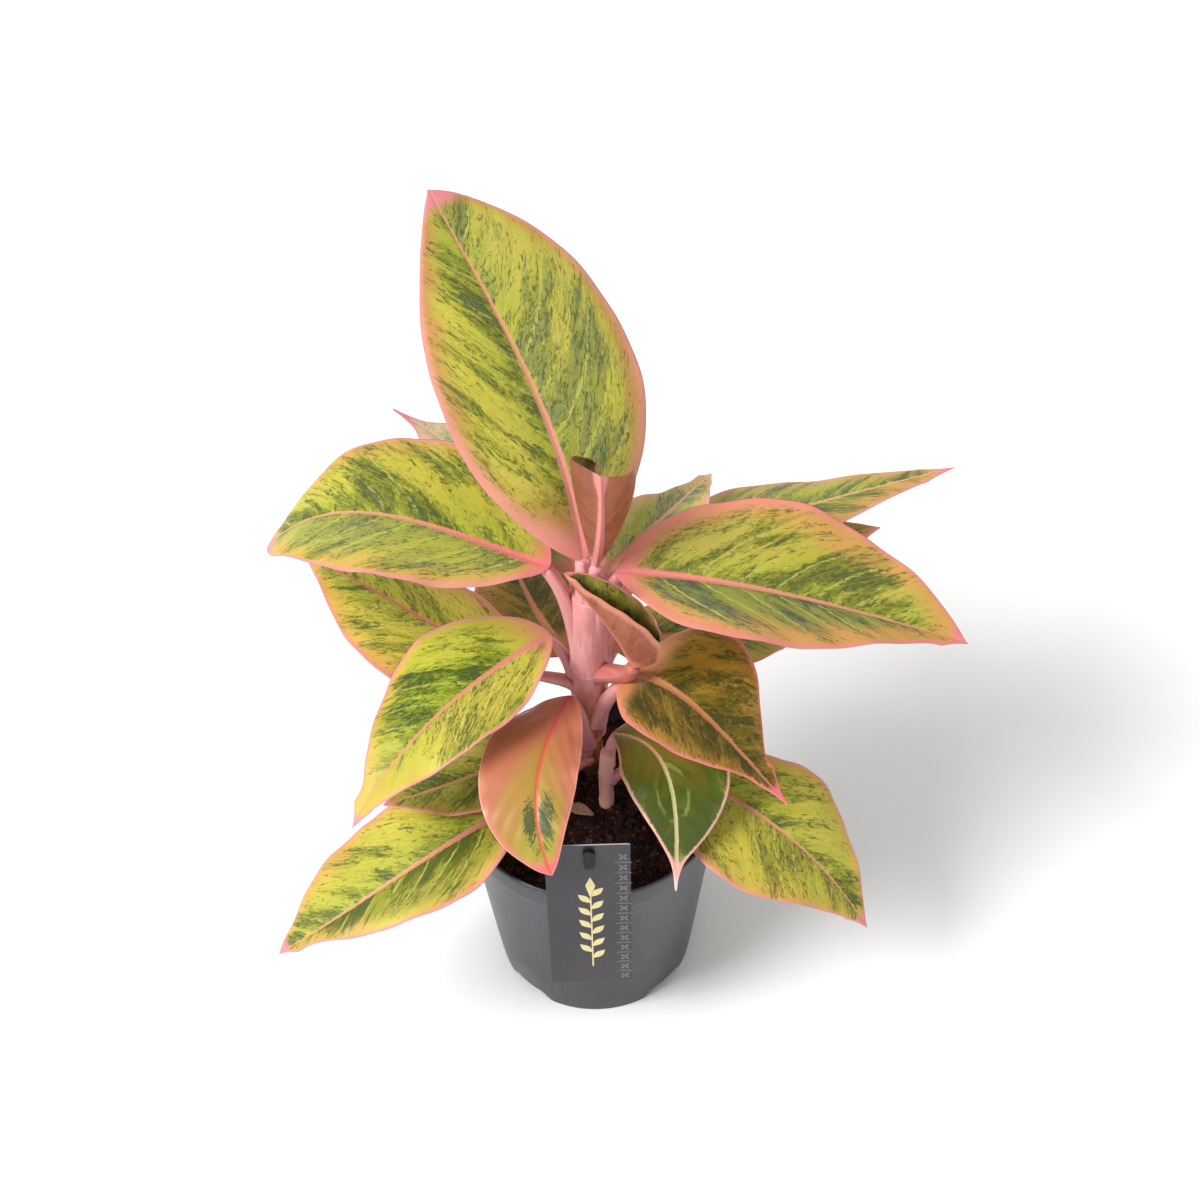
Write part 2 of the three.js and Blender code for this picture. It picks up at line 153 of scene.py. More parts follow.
def feed(shader, **wires):
    """Links wires to the shader's sockets, by name with underscores for spaces."""
    for name, wire in wires.items():
        shader.id_data.links.new(wire.socket, shader.inputs[name.replace("_", " ")])


def placed(name, data):
    """A new object with this data, in the scene."""
    thing = bpy.data.objects.new(name, data)
    bpy.context.scene.collection.objects.link(thing)
    return thing


def shaped(name, points, faces, *materials):
    """A smooth mesh object from points in millimetres."""
    mesh = bpy.data.meshes.new(name)
    mesh.from_pydata([Vector(point) * 0.001 for point in points], [], faces)
    for material in materials:
        mesh.materials.append(material)
    mesh.shade_smooth()
    mesh.update()
    return placed(name, mesh)


def fit(piece, slot, *nodes):
    """The piece rides with the plant and stands for these nodes of the frame; the slot is not used."""
    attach(piece, "root")
    if nodes:
        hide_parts(*nodes)


def turns_round(sides):
    """Even turns, once round."""
    return [2 * math.pi * j / sides for j in range(sides)]


def ringed(rings):
    """Points and faces that join rings of points into a skin. A ring of one point is a pole."""
    points, faces, starts = [], [], []
    for ring in rings:
        starts.append(len(points))
        points.extend(ring)
    for i in range(len(rings) - 1):
        low, high = len(rings[i]), len(rings[i + 1])
        for j in range(max(low, high)):
            k = j + 1
            corners = [starts[i] + j % low, starts[i] + k % low,
                       starts[i + 1] + k % high, starts[i + 1] + j % high]
            faces.append(tuple(dict.fromkeys(corners)))
    return points, faces


rim_radius = 60.0
notch_radius = 17.0
notch_height = 6.0
pot_sides = 160

foot_ring = [(43.3, 6.5), (43.5, 4), (43.6, 0.3), (43.8, 0), (45.5, 0), (45.9, 0.3), (46.1, 1.2), (46.9, 6)]
pot_profile = [(0, 0), (20, 0), (32.6, 0), (33.2, 0.5), (34.5, 6.5)] + foot_ring + [
    (49.2, 24), (51.9, 47), (54.6, 70), (57.2, 92.6), (57.45, 93.7), (57.9, 94.2), (58.6, 94.6),
    (58.85, 95.1), (59.1, 97), (59.4, 100), (59.8, 105), (59.95, 107.2), (59.7, 107.8), (59.3, 108),
    (58.9, 107.95), (58.55, 107.5), (58.2, 104), (57.5, 96), (57.2, 94.4), (56, 93), (51.5, 55),
    (48.4, 27), (45.8, 8.4), (45.2, 8.2), (34, 8.2), (33.2, 7.6), (31.9, 2), (31.3, 1.7), (18, 1.7), (0, 1.7)]


def notched(radius, height, turn):
    """The foot ring's lower edge rises in an arch at each of the four drain notches."""
    from_middle = (turn % (math.pi / 2)) - math.pi / 4
    aside = radius * math.sin(from_middle)
    arch = math.sqrt(max(notch_radius ** 2 - aside ** 2, 0.0)) - notch_radius + notch_height
    return max(height, arch)


pot_rings = []
for radius, height in pot_profile:
    ring = []
    for turn in turns_round(pot_sides if radius else 1):
        level = notched(radius, height, turn) if (radius, height) in foot_ring else height
        ring.append((radius * math.cos(turn), radius * math.sin(turn), level))
    pot_rings.append(ring)

plastic, shader, place = finish("grey moulded plastic", 0.42, 0.45, coat=0.2)
specks = place.noise(2600.0, 2.0, 0.6)
clouds = place.noise(38.0, 3.0, 0.6)
height_up = place.axis(2)
body_tone = (clouds.step(0.35, 0.75) * 0.5 + specks * 0.3).paint((45, 44, 53), (65, 64, 74))
band_tone = (height_up.step(0.0935, 0.0950) * 0.4).paint(body_tone, (43, 42, 51))
# Darker towards the foot: painted shade near the floor, not a colour of the plastic.
band_tone = (height_up.step(0.080, 0.015) * 0.75).paint(band_tone, (22, 21, 29))
low_dust = 1.0 - height_up.step(0.0, 0.02)
dust = place.noise(420.0, 3.0, 0.75).step(0.62, 0.78) * (low_dust * 0.4 + 0.12)
scuffs = (place * (1.0, 1.0, 0.15)).noise(700.0, 2.0, 0.7).step(0.6, 0.8) * 0.2
feed(shader,
     Base_Color=(dust + scuffs).paint(band_tone, (140, 136, 134)),
     Roughness=clouds * 0.16 + specks * 0.08 + 0.32,
     Normal=(specks * 0.7 + place.noise(220.0, 2.0) * 0.3).relief(0.00006))
pot = shaped("pot_shell", *ringed(pot_rings), plastic)
fit(pot, "pot_plastic", "pot")


# Soil. Dark peaty potting mix, poured in to a finger below the rim: a lumpy fill with
# loose crumbs of peat, bark and a little fibre on top.

soil_level = 98.0
soil_bottom = 8.5
soil_sides = 96


def lump(x, y):
    """The fill's uneven top, with finer bumps of its own."""
    broad = math.sin(0.31 * x + 1.7 * math.sin(0.21 * y)) * math.cos(0.27 * y - 0.9 * math.sin(0.33 * x))
    fine = math.sin(0.9 * x + 2.1 * math.sin(0.7 * y)) * math.sin(0.8 * y + 1.3 * math.cos(0.6 * x))
    return 1.3 * broad + 0.45 * fine


def soil_ring(radius, height, bumpy=False):
    ring = []
    for turn in turns_round(soil_sides):
        x, y = radius * math.cos(turn), radius * math.sin(turn)
        ring.append((x, y, height + (lump(x, y) if bumpy else 0.0)))
    return ring


def plan(name, sockets):
    """A Geometry Nodes tree with named inputs, given as name and kind; its inputs as wires."""
    tree = bpy.data.node_groups.new(name, "GeometryNodeTree")
    for label, kind in sockets.items():
        tree.interface.new_socket(name=label, in_out="INPUT", socket_type="NodeSocket" + kind)
    tree.interface.new_socket(name="Result", in_out="OUTPUT", socket_type="NodeSocketGeometry")
    source = tree.nodes.new("NodeGroupInput")
    return tree, {label: Wire(source.outputs[label]) for label in sockets}


def joined(*shapes):
    """These shapes as one."""
    whole = shapes[0].make("GeometryNodeJoinGeometry")
    for shape in shapes:
        shape.socket.id_data.links.new(shape.socket, whole.socket.node.inputs[0])
    return whole


def end_plan(tree, shape, skins):
    """The tree's result: instances made real, and one skin for all or each on the faces with its number."""
    real = shape.make("GeometryNodeRealizeInstances", None, {0: shape})
    for number, skin in enumerate(skins):
        inputs = {"Geometry": real, "Material": skin}
        if len(skins) > 1:
            marks = real.make("GeometryNodeInputNamedAttribute", {"data_type": "INT"}, {"Name": "skin"})
            inputs["Selection"] = marks.math("COMPARE", float(number), 0.1)
        real = real.make("GeometryNodeSetMaterial", None, inputs)
    tree.links.new(real.socket, tree.nodes.new("NodeGroupOutput").inputs[0])


def made_mesh(thing):
    """The plain mesh that an object's modifier or curve makes."""
    bpy.context.view_layer.update()
    return bpy.data.meshes.new_from_object(thing.evaluated_get(bpy.context.evaluated_depsgraph_get()))


def grow(name, tree, values, seedling=None):
    """The plain mesh object that the tree makes with these values, from a seedling mesh or none."""
    piece = placed(name, seedling or bpy.data.meshes.new(name + "_start"))
    shape = piece.modifiers.new("shape", "NODES")
    shape.node_group = tree
    for item in tree.interface.items_tree:
        if item.in_out == "INPUT" and item.name in values:
            shape[item.identifier] = values[item.name]
    mesh = made_mesh(piece)
    piece.modifiers.clear()
    piece.data = mesh
    mesh.name = name
    return piece


peat, shader, place = finish("dark peat", 0.95, 0.2)
grains = place.noise(900.0, 3.0, 0.7)
patches = place.noise(160.0, 3.0, 0.6)
tone = patches.step(0.3, 0.7).paint((20, 9, 8), (50, 26, 22))
bark = place.noise(330.0, 2.0, 0.6).step(0.56, 0.68) * 0.75
pale = place.noise(610.0, 1.0).step(0.68, 0.74) * 0.5
feed(shader,
     Base_Color=pale.paint(bark.paint(tone, (86, 50, 38)), (150, 116, 98)),
     Roughness=1.0 - grains * 0.2,
     Normal=(grains + patches * 0.5).relief(0.0005))

crumb_tree, inlet = plan("crumbs on soil", {
    "Fill": "Geometry", "Crumbs per square metre": "Float", "Smallest": "Float", "Largest": "Float",
    "Seed": "Int", "Peat": "Material"})
fill = inlet["Fill"]
upward = fill.make("GeometryNodeInputNormal").axis(2).math("GREATER_THAN", 0.6)
scatter = fill.make("GeometryNodeDistributePointsOnFaces", None, {
    "Mesh": fill, "Selection": upward, "Density": inlet["Crumbs per square metre"], "Seed": inlet["Seed"]})
turns = fill.make("FunctionNodeRandomValue", {"data_type": "FLOAT_VECTOR"},
                  {0: (0.0, 0.0, 0.0), 1: (6.28, 6.28, 6.28), "Seed": 3})
chance = fill.make("FunctionNodeRandomValue", {"data_type": "FLOAT"}, {"Seed": 5}, 1)
size = inlet["Smallest"] + (inlet["Largest"] - inlet["Smallest"]) * chance ** 5.0
shape = fill.make("FunctionNodeRandomValue", {"data_type": "FLOAT_VECTOR"},
                  {0: (0.6, 0.8, 0.5), 1: (1.5, 1.1, 0.9), "Seed": 9})
ball = fill.make("GeometryNodeMeshIcoSphere", None, {"Radius": 1.0, "Subdivisions": 1})
spot = ball.make("GeometryNodeInputPosition")
ragged = ball.make("GeometryNodeSetPosition", None, {
    "Geometry": ball, "Position": spot * (spot.noise(1.7, 1.0) * 1.3 + 0.35)})
crumbs = fill.make("GeometryNodeInstanceOnPoints", None, {
    "Points": scatter, "Instance": ragged, "Rotation": turns, "Scale": shape * size})
end_plan(crumb_tree, joined(fill, crumbs), [inlet["Peat"]])

soil_rings = [[(0, 0, soil_bottom)], soil_ring(30, soil_bottom), soil_ring(44.9, soil_bottom)]
soil_rings.append(soil_ring(55.7, 93))
for radius in (55.4, 54.6, 53.5, 52, 50, 47.5, *range(45, 0, -3)):
    sunk = 2.0 if radius > 50 else 0.8 if radius > 46 else 0.0
    soil_rings.append(soil_ring(radius, soil_level - sunk, True))
soil_rings.append([(0, 0, soil_level + lump(0, 0))])
start = shaped("soil_start", *ringed(soil_rings))
fill_mesh = start.data
bpy.data.objects.remove(start)
soil = grow("soil_fill", crumb_tree, {
    "Crumbs per square metre": 300000.0, "Smallest": 0.00035, "Largest": 0.0022, "Seed": 11,
    "Peat": peat}, fill_mesh)
soil.data.shade_flat()
fit(soil, "soil", "soil")


# Stems. The cane of the old plant, ringed with leaf scars near the soil and wrapped
# higher up in the pink sheaths of its leaves, one out of the other like a telescope.
# A young pink side shoot stands in front of it. Both root in the soil.

stem_through = [(-1, 23, 74), (1, 22, 128), (1, 19, 175), (3, 15, 222)]
shoot_through = [(7, 0, 74), (7, 1, 98), (7, 2, 116), (8, 3, 132)]


def through(points):
    """The four controls of the cubic that passes through four points at its start, thirds and end."""
    a, b, c, d = (Vector(point) for point in points)
    return [a, -5 / 6 * a + 3 * b - 3 / 2 * c + 1 / 3 * d, 1 / 3 * a - 3 / 2 * b + 3 * c - 5 / 6 * d, d]


def point_on(controls, share):
    a, b, c, d = controls
    rest = 1.0 - share
    return a * rest ** 3 + b * (3 * share * rest ** 2) + c * (3 * share ** 2 * rest) + d * share ** 3


def heading_on(controls, share):
    a, b, c, d = controls
    rest = 1.0 - share
    return ((b - a) * rest ** 2 + (c - b) * (2 * share * rest) + (d - c) * share ** 2).normalized()


stem_line = through(stem_through)
shoot_line = through(shoot_through)

# Height and direction of each sheath's edge on the cane, from the lowest up.
sheath_edges = [(104, 3.8), (111, 0.9), (117.5, 4.4), (124.5, 4.9), (136, 2.2), (148, 5.2), (160, 3.4),
                (176, 1.2)]
scar_rings = [86, 91, 97, 101, 106, 110]
thinnest_cane = 4.6
thickest_cane = 8.6


def cane_radius(height, turn):
    radius = min(max(thinnest_cane + (height - 122) * 0.076, thinnest_cane), thickest_cane)
    for edge, toward in sheath_edges:
        below = edge + 3.0 * math.cos(turn - toward) - height
        if below > 0:
            radius += 0.5 * math.exp(-below / 5.0)
    for scar in scar_rings:
        radius += 0.22 * math.exp(-((height - scar - 0.6 * math.sin(turn)) / 0.7) ** 2)
    return radius + 0.12 * math.sin(5 * turn + height * 0.05)


def shoot_radius(height, turn):
    radius = 3.3
    for edge, toward in [(104, 1.0), (119, 4.2)]:
        below = edge + 2.5 * math.cos(turn - toward) - height
        if below > 0:
            radius += 0.35 * math.exp(-below / 6.0)
    return radius + 0.05 * math.sin(4 * turn)


def upright(controls, radius_at, rows, sides):
    """Rings about an upright line, closed at both ends."""
    rings = [[tuple(point_on(controls, 0.0))]]
    for i in range(rows + 1):
        middle = point_on(controls, i / rows)
        ring = []
        for turn in turns_round(sides):
            radius = radius_at(middle.z, turn)
            ring.append((middle.x + radius * math.cos(turn), middle.y + radius * math.sin(turn), middle.z))
        rings.append(ring)
    rings.append([tuple(point_on(controls, 1.0))])
    return ringed(rings)


def stem_finish(name, low_colour, high_colour, low, high):
    """Old stem colour below, young pink above, with fine lengthwise fibres and a waxy bloom."""
    material, shader, place = finish(name, 0.42, 0.5)
    fibres = (place * (1.0, 1.0, 0.06)).noise(900.0, 3.0, 0.6)
    blotches = (place * (1.0, 1.0, 0.5)).noise(150.0, 3.0, 0.6)
    young = (place.axis(2) + (blotches - 0.5) * 0.016).step(low, high)
    tone = young.paint(low_colour, high_colour)
    tone = (fibres.step(0.4, 0.7) * 0.3).paint(tone, (236, 190, 184))
    tone = (blotches.step(0.52, 0.72) * 0.4).paint(tone, (196, 116, 112))
    feed(shader,
         Base_Color=tone,
         Roughness=fibres * 0.2 + 0.3,
         Normal=fibres.relief(0.00015))
    return material, shader, place, tone


cane, shader, place, tone = stem_finish("cane and sheaths", (166, 82, 38), (212, 140, 142), 0.140, 0.172)
heights = place.axis(2)
old = 1.0 - heights.step(0.104, 0.113)
tone = (old * 0.85).paint(tone, (88, 62, 48))
ring_mark = (heights - 0.1235).math("ABSOLUTE").step(0.0016, 0.0006) * 0.8
feed(shader, Base_Color=ring_mark.paint(tone, (206, 168, 140)))
main_stem = shaped("cane_with_sheaths", *upright(stem_line, cane_radius, rows=150, sides=32), cane)
fit(main_stem, "cane", "main_stem")

shoot_skin = stem_finish("young pink shoot", (252, 188, 172), (248, 182, 174), 0.098, 0.116)[0]
side_shoot = shaped("pink_side_shoot", *upright(shoot_line, shoot_radius, rows=70, sides=24), shoot_skin)
fit(side_shoot, "pink_stem", "side_shoot")


# Leaves with green and gold faces and salmon margins: the large ones on top and the
# lower ones that hang over the pot. A living blade, folded at its sunken midrib and
# lightly quilted between the side veins, on a channelled pink stalk from the stem.

blade_thickness = 0.7
midrib_depth = 1.5
rows_on_blade = 96
columns_on_half = 20
points_up_stalk = 48
points_round_stalk = 25
seam_gap = 0.000001
stalk_start = 3.2


def frame_along(controls, across, share):
    """Place, heading, sideways and upward directions on a cubic, all as wires."""
    a, b, c, d = controls
    rest = 1.0 - share
    place = a * rest ** 3.0 + b * (share * rest ** 2.0 * 3.0)
    place = place + c * (share ** 2.0 * rest * 3.0) + d * share ** 3.0
    heading = (b - a) * rest ** 2.0 + (c - b) * (share * rest * 2.0) + (d - c) * share ** 2.0
    heading = heading.vector("NORMALIZE")
    leaning = across.vector("DOT_PRODUCT", heading, out=1)
    sideways = (across - heading * leaning).vector("NORMALIZE")
    return place, heading, sideways, sideways.vector("CROSS_PRODUCT", heading)


leaf_sockets = {f"{part} {letter}": "Vector" for part in ("Rib", "Stalk") for letter in "ABCD"}
leaf_sockets.update({f"{side} {trait}": "Float" for side in ("Left", "Right")
                     for trait in ("width", "widest", "slant", "scoop", "fold", "curl")})
leaf_sockets.update({trait: "Float" for trait in (
    "Length", "Drip", "Cut", "Wave", "Side veins", "Quilting", "Seed", "Foot radius", "Top radius")})
leaf_sockets.update({f"{part} skin": "Material" for part in ("Upper", "Under", "Stalk")})
leaf_tree, inlet = plan("blade and stalk", {
    "Across": "Vector", "Rows": "Int", "Columns": "Int", **leaf_sockets})

grid = inlet["Rows"].make("GeometryNodeMeshGrid", None, {
    "Size X": 1.0, "Size Y": 2.0, "Vertices X": inlet["Rows"], "Vertices Y": inlet["Columns"]})
spot = grid.make("GeometryNodeInputPosition")
even = spot.axis(0) + 0.5
column = spot.axis(1)
row_share = even * 0.5 + (1.0 - (even * math.pi).math("COSINE")) * 0.25
left = column.math("LESS_THAN", 0.0)


def of_half(name):
    """The left half's value where the column is on the left, the right half's elsewhere."""
    return inlet["Right " + name] + (inlet["Left " + name] - inlet["Right " + name]) * left


out_share = column.math("ABSOLUTE")
out_share = out_share - (out_share * (2 * math.pi)).math("SINE") * 0.12
share = row_share * (1.0 - of_half("slant") * out_share - of_half("scoop") * out_share ** 2.0)
whole = row_share * (1.0 - inlet["Cut"])
used = (whole / (1.0 - inlet["Drip"])).math("MINIMUM", 1.0)
widest = of_half("widest")
swell = (used / widest) ** 0.75
taper = ((1.0 - used) / (1.0 - widest)) ** ((1.0 - widest) * 0.75 / widest)
tail = ((1.0 - whole) / (inlet["Drip"] + 0.08)).math("MINIMUM", 1.0) ** 1.5 * 0.17
tail = tail * whole.step(0.5, 0.7)
narrowest = (1.4 - row_share * 0.9) * (1.0 - row_share ** 60.0).math("SQRT")
half_width = (of_half("width") * swell * taper).math("SMOOTH_MAX", of_half("width") * tail, 2.5)
half_width = half_width.math("SMOOTH_MAX", narrowest, 0.8)
pointed = (1.0 - row_share ** 90.0).math("SQRT").math("MAXIMUM", inlet["Cut"].math("GREATER_THAN", 0.0))
half_width = half_width * pointed
fold = of_half("fold")
curl = of_half("curl")
slope = fold - curl * out_share
outward = (fold.math("SINE") - slope.math("SINE")) / curl
lifted = (slope.math("COSINE") - fold.math("COSINE")) / curl
wave = (share * (2 * math.pi * 2.6) + (1.0 - left) * 2.1).math("SINE") * inlet["Wave"] * out_share ** 2.0
ruffle = (share * 41.0 + inlet["Seed"] * 5.0 + left * 2.0).math("SINE") * out_share ** 3.0 * 0.35
grown_full = (half_width / 12.0).math("MINIMUM", 1.0)
rib_gap = out_share * half_width
margin_gap = (1.0 - out_share) * half_width
vein_start = share - (rib_gap / of_half("width")) ** 1.2 * (share * 0.20 + 0.25)
vein_count = vein_start * inlet["Side veins"]
side_sign = column.math("SIGN")

groove_width = 1.7 - share * 0.9
groove = ((rib_gap / groove_width) ** 2.0 * -1.0).math("EXPONENT")
between_veins = 0.5 - (vein_count * (2 * math.pi)).math("COSINE") * 0.5
quilt = between_veins * out_share * (1.0 - out_share) * 4.0 * inlet["Quilting"] * grown_full
closing = (1.0 - row_share ** 40.0).math("SQRT") * (1.0 - (1.0 - row_share) ** 60.0).math("SQRT")
thick = (1.0 - out_share ** 10.0).math("SQRT") * closing * (blade_thickness / 2)
upper_level = thick + quilt - groove * 0.3 * closing * grown_full * (1.0 - share * 0.5)
rib_level = groove * midrib_depth * (half_width / 10.0).math("MINIMUM", 1.0) * (1.0 - share * 0.5)
lower_level = quilt - thick - rib_level * closing

midrib = [inlet["Rib " + letter] for letter in "ABCD"]
place, heading, sideways, upward = frame_along(midrib, inlet["Across"], share)
on_blade = place + sideways * (side_sign * half_width * outward)
on_blade = on_blade + upward * (half_width * lifted + (wave + ruffle) * grown_full)
tilt = slope * rib_gap.step(0.2, 2.2)
facing = upward * tilt.math("COSINE") - sideways * (side_sign * tilt.math("SINE"))


def stored(shape, name, x, y, z):
    """Keeps three numbers of each point under a name, for the skins to read."""
    value = x.make("ShaderNodeCombineXYZ", None, {0: x, 1: y, 2: z})
    return shape.make("GeometryNodeStoreNamedAttribute", {"data_type": "FLOAT_VECTOR", "domain": "POINT"},
                      {"Geometry": shape, "Name": name, "Value": value})


def marked(shape):
    """Where each point lies on the blade, in shares, in millimetres along the veins, and from the edges."""
    shape = stored(shape, "blade", share, side_sign * out_share, inlet["Seed"])
    shape = stored(shape, "grain", vein_start * inlet["Length"], rib_gap, inlet["Seed"] * 31.0 + left * 57.0)
    return stored(shape, "reach", margin_gap, rib_gap, vein_count)


def laid(shape, position, skin):
    """The shape moved to its place in metres, its faces marked with the number of their skin."""
    moved = shape.make("GeometryNodeSetPosition", None, {"Geometry": shape, "Position": position * 0.001})
    return moved.make("GeometryNodeStoreNamedAttribute", {"data_type": "INT", "domain": "FACE"},
                      {"Geometry": moved, "Name": "skin", "Value": skin})


upper = laid(marked(grid), on_blade + facing * upper_level, 0)
upper = upper.make("GeometryNodeFlipFaces", None, {0: upper})
lower = laid(marked(grid), on_blade + facing * lower_level, 1)

tube = inlet["Rows"].make("GeometryNodeMeshGrid", None, {
    "Size X": 1.0, "Size Y": 2.0, "Vertices X": points_up_stalk, "Vertices Y": points_round_stalk})
up_stalk = even
middle_line = [inlet["Stalk " + letter] for letter in "ABCD"]
place, heading, sideways, upward = frame_along(middle_line, inlet["Across"], up_stalk)
turn = column * math.pi
width = inlet["Foot radius"] + (inlet["Top radius"] - inlet["Foot radius"]) * up_stalk.math("SQRT")
ends = (1.0 - up_stalk ** 80.0).math("SQRT") * (1.0 - (1.0 - up_stalk) ** 80.0).math("SQRT")
channel = ((turn - math.pi / 2) / 0.55) ** 2.0 * -1.0
channel = channel.math("EXPONENT") * (0.32 - up_stalk * 0.12)
wings = (turn.math("COSINE").math("ABSOLUTE")) ** 3.0 * 0.10 * (1.0 - up_stalk)
width = width * ends * (1.0 - channel + wings)
on_stalk = place + sideways * (turn.math("COSINE") * width) + upward * (turn.math("SINE") * width)
stalk = stored(tube, "blade", up_stalk, turn, inlet["Seed"])
stalk = laid(stalk, on_stalk, 2)

plain = joined(upper, lower, stalk)
closed = plain.make("GeometryNodeMergeByDistance", None, {0: plain, "Distance": seam_gap})
smooth = closed.make("GeometryNodeSetShadeSmooth", None, {0: closed})
end_plan(leaf_tree, smooth, [inlet[part + " skin"] for part in ("Upper", "Under", "Stalk")])


def leaf_numbers(shader_place):
    """What the blade's points keep, as wires: share along, side, gaps to margin and midrib, veins, grain."""
    def read(name):
        return shader_place.make("ShaderNodeAttribute", {"attribute_name": name}, None, "Vector")
    blade, grain, reach = read("blade"), read("grain"), read("reach")
    return blade.axis(0), blade.axis(1), reach.axis(0), reach.axis(1), reach.axis(2), grain


def leaf_face(name, light, green, dark, blush, margin, rib, greens=0.5, darks=0.5, stroke=1.0,
              blushes=8.0, margin_width=3.0, veins=0.45, roughness=0.46, edge=(222, 136, 140),
              centre=(112, 124, 84), base=(212, 134, 118), rib_width=1.0, glow=0.12, tip=0.935,
              core=(0.16, 0.90), fade=0.12, lime=(158, 168, 54), half_light_and_shade=None):
    """The upper skin: gold, with green patches and dark specks along the side veins, salmon to the margin,
    and painted light and shade on one half where asked.
    """
    material, shader, place = finish(name, roughness, 0.27)
    along, side, margin_gap, rib_gap, vein_count, grain = leaf_numbers(place)

    def wander(scale, amount):
        """A slow sideways drift of the pattern."""
        return (grain * scale).noise(1.0, out=1).vector("SUBTRACT", (0.5, 0.5, 0.5)) * amount

    jag = wander((0.30, 0.22, 1.4), (5.0, 7.0, 0.0))
    bent = grain + wander((0.05, 0.05, 1.0), (9.0, 12.0, 0.0)) + jag
    patches = (bent * (0.16 * stroke, 0.075 * stroke, 1.0)).noise(1.0, 2.0, 0.5)
    clouds = (bent * (0.055, 0.035, 1.3)).noise(1.0, 1.0, 0.5)
    depths = (bent * (0.17 * stroke, 0.11 * stroke, 1.7)).noise(1.0, 2.0, 0.5)
    brush = (bent * (0.56, 0.38, 1.0)).noise(1.0, 2.0, 0.55)
    grit = (grain * (0.85, 0.62, 1.0)).noise(1.0, 3.0, 0.65)
    far = (bent * (0.024, 0.022, 1.0)).noise(1.0, 2.0, 0.5)
    inner = margin_gap.step(margin_width, margin_width + 7.0)
    ends = along.step(core[0], core[0] - 0.14) + along.step(core[1], 0.99)
    load = patches * 0.8 + clouds + (brush - 0.5) * 0.40 + (grit - 0.5) * 0.50 + inner * 0.10
    load = load + rib_gap.step(13.0, 2.0) * 0.11 - ends * fade - 0.4
    green_mask = load.step(0.60 - greens * 0.24, 0.86 - greens * 0.24)
    deep = load + (depths - 0.5) * 1.0 + (grit - 0.5) * 0.3
    dark_mask = deep.step(0.88 - darks * 0.30, 1.06 - darks * 0.30)
    pale = [0.55 * a + 0.45 * b for a, b in zip(light, (216, 186, 128))]
    tone = (far.step(0.42, 0.65) * 0.45).paint(light, pale)
    limey = (rib_gap + (far - 0.5) * 20.0).step(20.0, 4.0) * 0.55 + (brush.step(0.46, 0.62) * 0.40)
    tone = (limey * (0.4 + inner * 0.6)).paint(tone, lime)
    tone = (green_mask * 0.9).paint(tone, green)
    tone = (dark_mask * 0.8).paint(tone, dark)
    tone = (deep.step(1.04 - darks * 0.30, 1.24 - darks * 0.30) * 0.65).paint(tone, centre)
    vein_gap = ((vein_count + (clouds - 0.5) * 0.5 + 0.5).math("FRACT") - 0.5).math("ABSOLUTE")
    line = (vein_gap + (brush - 0.5) * 0.20).step(0.080, 0.02) * inner * rib_gap.step(1.0, 4.0)
    line = line * (green_mask * 0.6 + 0.4) * veins
    # Painted light and shade on one half of the blade: a tint, lighter on some leaves and darker on others,
    # with patches, standing in for the sheen and shade that half catches.
    if half_light_and_shade:
        sign, tint, patch, hold = half_light_and_shade
        painted_half_mask = (side * sign).step(0.01, 0.05) * inner * (0.9 - ends) * hold
        tone = (painted_half_mask * (green_mask * 0.45 + 0.5)).paint(tone, tint)
        grey_patch = painted_half_mask * (deep + jag.axis(0) * 0.03).step(0.70, 0.80)
        tone = grey_patch.paint(tone, patch)
        line = line * (painted_half_mask + 1.0)
    tone = line.paint(tone, [0.5 * a + 0.5 * b for a, b in zip(light, (196, 206, 124))])
    cloudy_gap = margin_gap + (far - 0.5) * 26.0 + (brush - 0.5) * 10.0
    near_margin = cloudy_gap.step(blushes + 5.0, blushes - 5.0).math("MAXIMUM", ends * 0.8) * 0.8
    tone = (near_margin * (1.0 - dark_mask * 0.7) * (1.0 - green_mask * 0.45)).paint(tone, blush)
    specks = (bent * (0.74, 0.60, 1.6)).noise(1.0, 2.5, 0.65) + (load - 0.45) * 0.24 + (patches - 0.5) * 0.1
    specks = specks.step(0.600 - darks * 0.02, 0.665 - darks * 0.02) * margin_gap.step(0.8, 3.5)
    tone = (specks * (1.0 - ends * 0.6) * 0.72).paint(tone, [0.90 * value for value in dark])
    band = margin_width * ((1.0 - along) ** 2.0 * 1.6 + 0.45)
    ragged_gap = margin_gap + (brush - 0.5) * 5.0 + (grit - 0.5) * 2.0
    tone = ((ragged_gap / band).step(1.5, 0.4) * 0.9).paint(tone, margin)
    base_glow = (along + (far - 0.5) * 0.12).step(glow, glow - 0.12) * 0.85
    tone = base_glow.paint(tone, base)
    half_rib = ((1.0 - along).math("MAXIMUM", 0.0) ** 1.5 * 1.5 + 0.35) * rib_width
    rib_mask = ((rib_gap + (brush - 0.5) * 1.1 + (grit - 0.5) * 0.7) / half_rib).step(1.35, 0.7)
    rib_tone = along.step(0.55, 0.10).paint(rib, base)
    tone = (rib_mask * 0.9).paint(tone, rib_tone)
    tip_glow = (along + (brush - 0.5) * 0.06).step(tip, tip + 0.035)
    tone = tip_glow.paint(tone, edge)
    tone = (margin_gap.step(1.3, 0.4) * 0.85).paint(tone, edge)
    feed(shader,
         Base_Color=tone,
         Roughness=brush * 0.14 + grit * 0.12 + (roughness - 0.12),
         Normal=(grit * 0.35 + brush * 0.6 - line * 0.5).relief(0.0002))
    return material


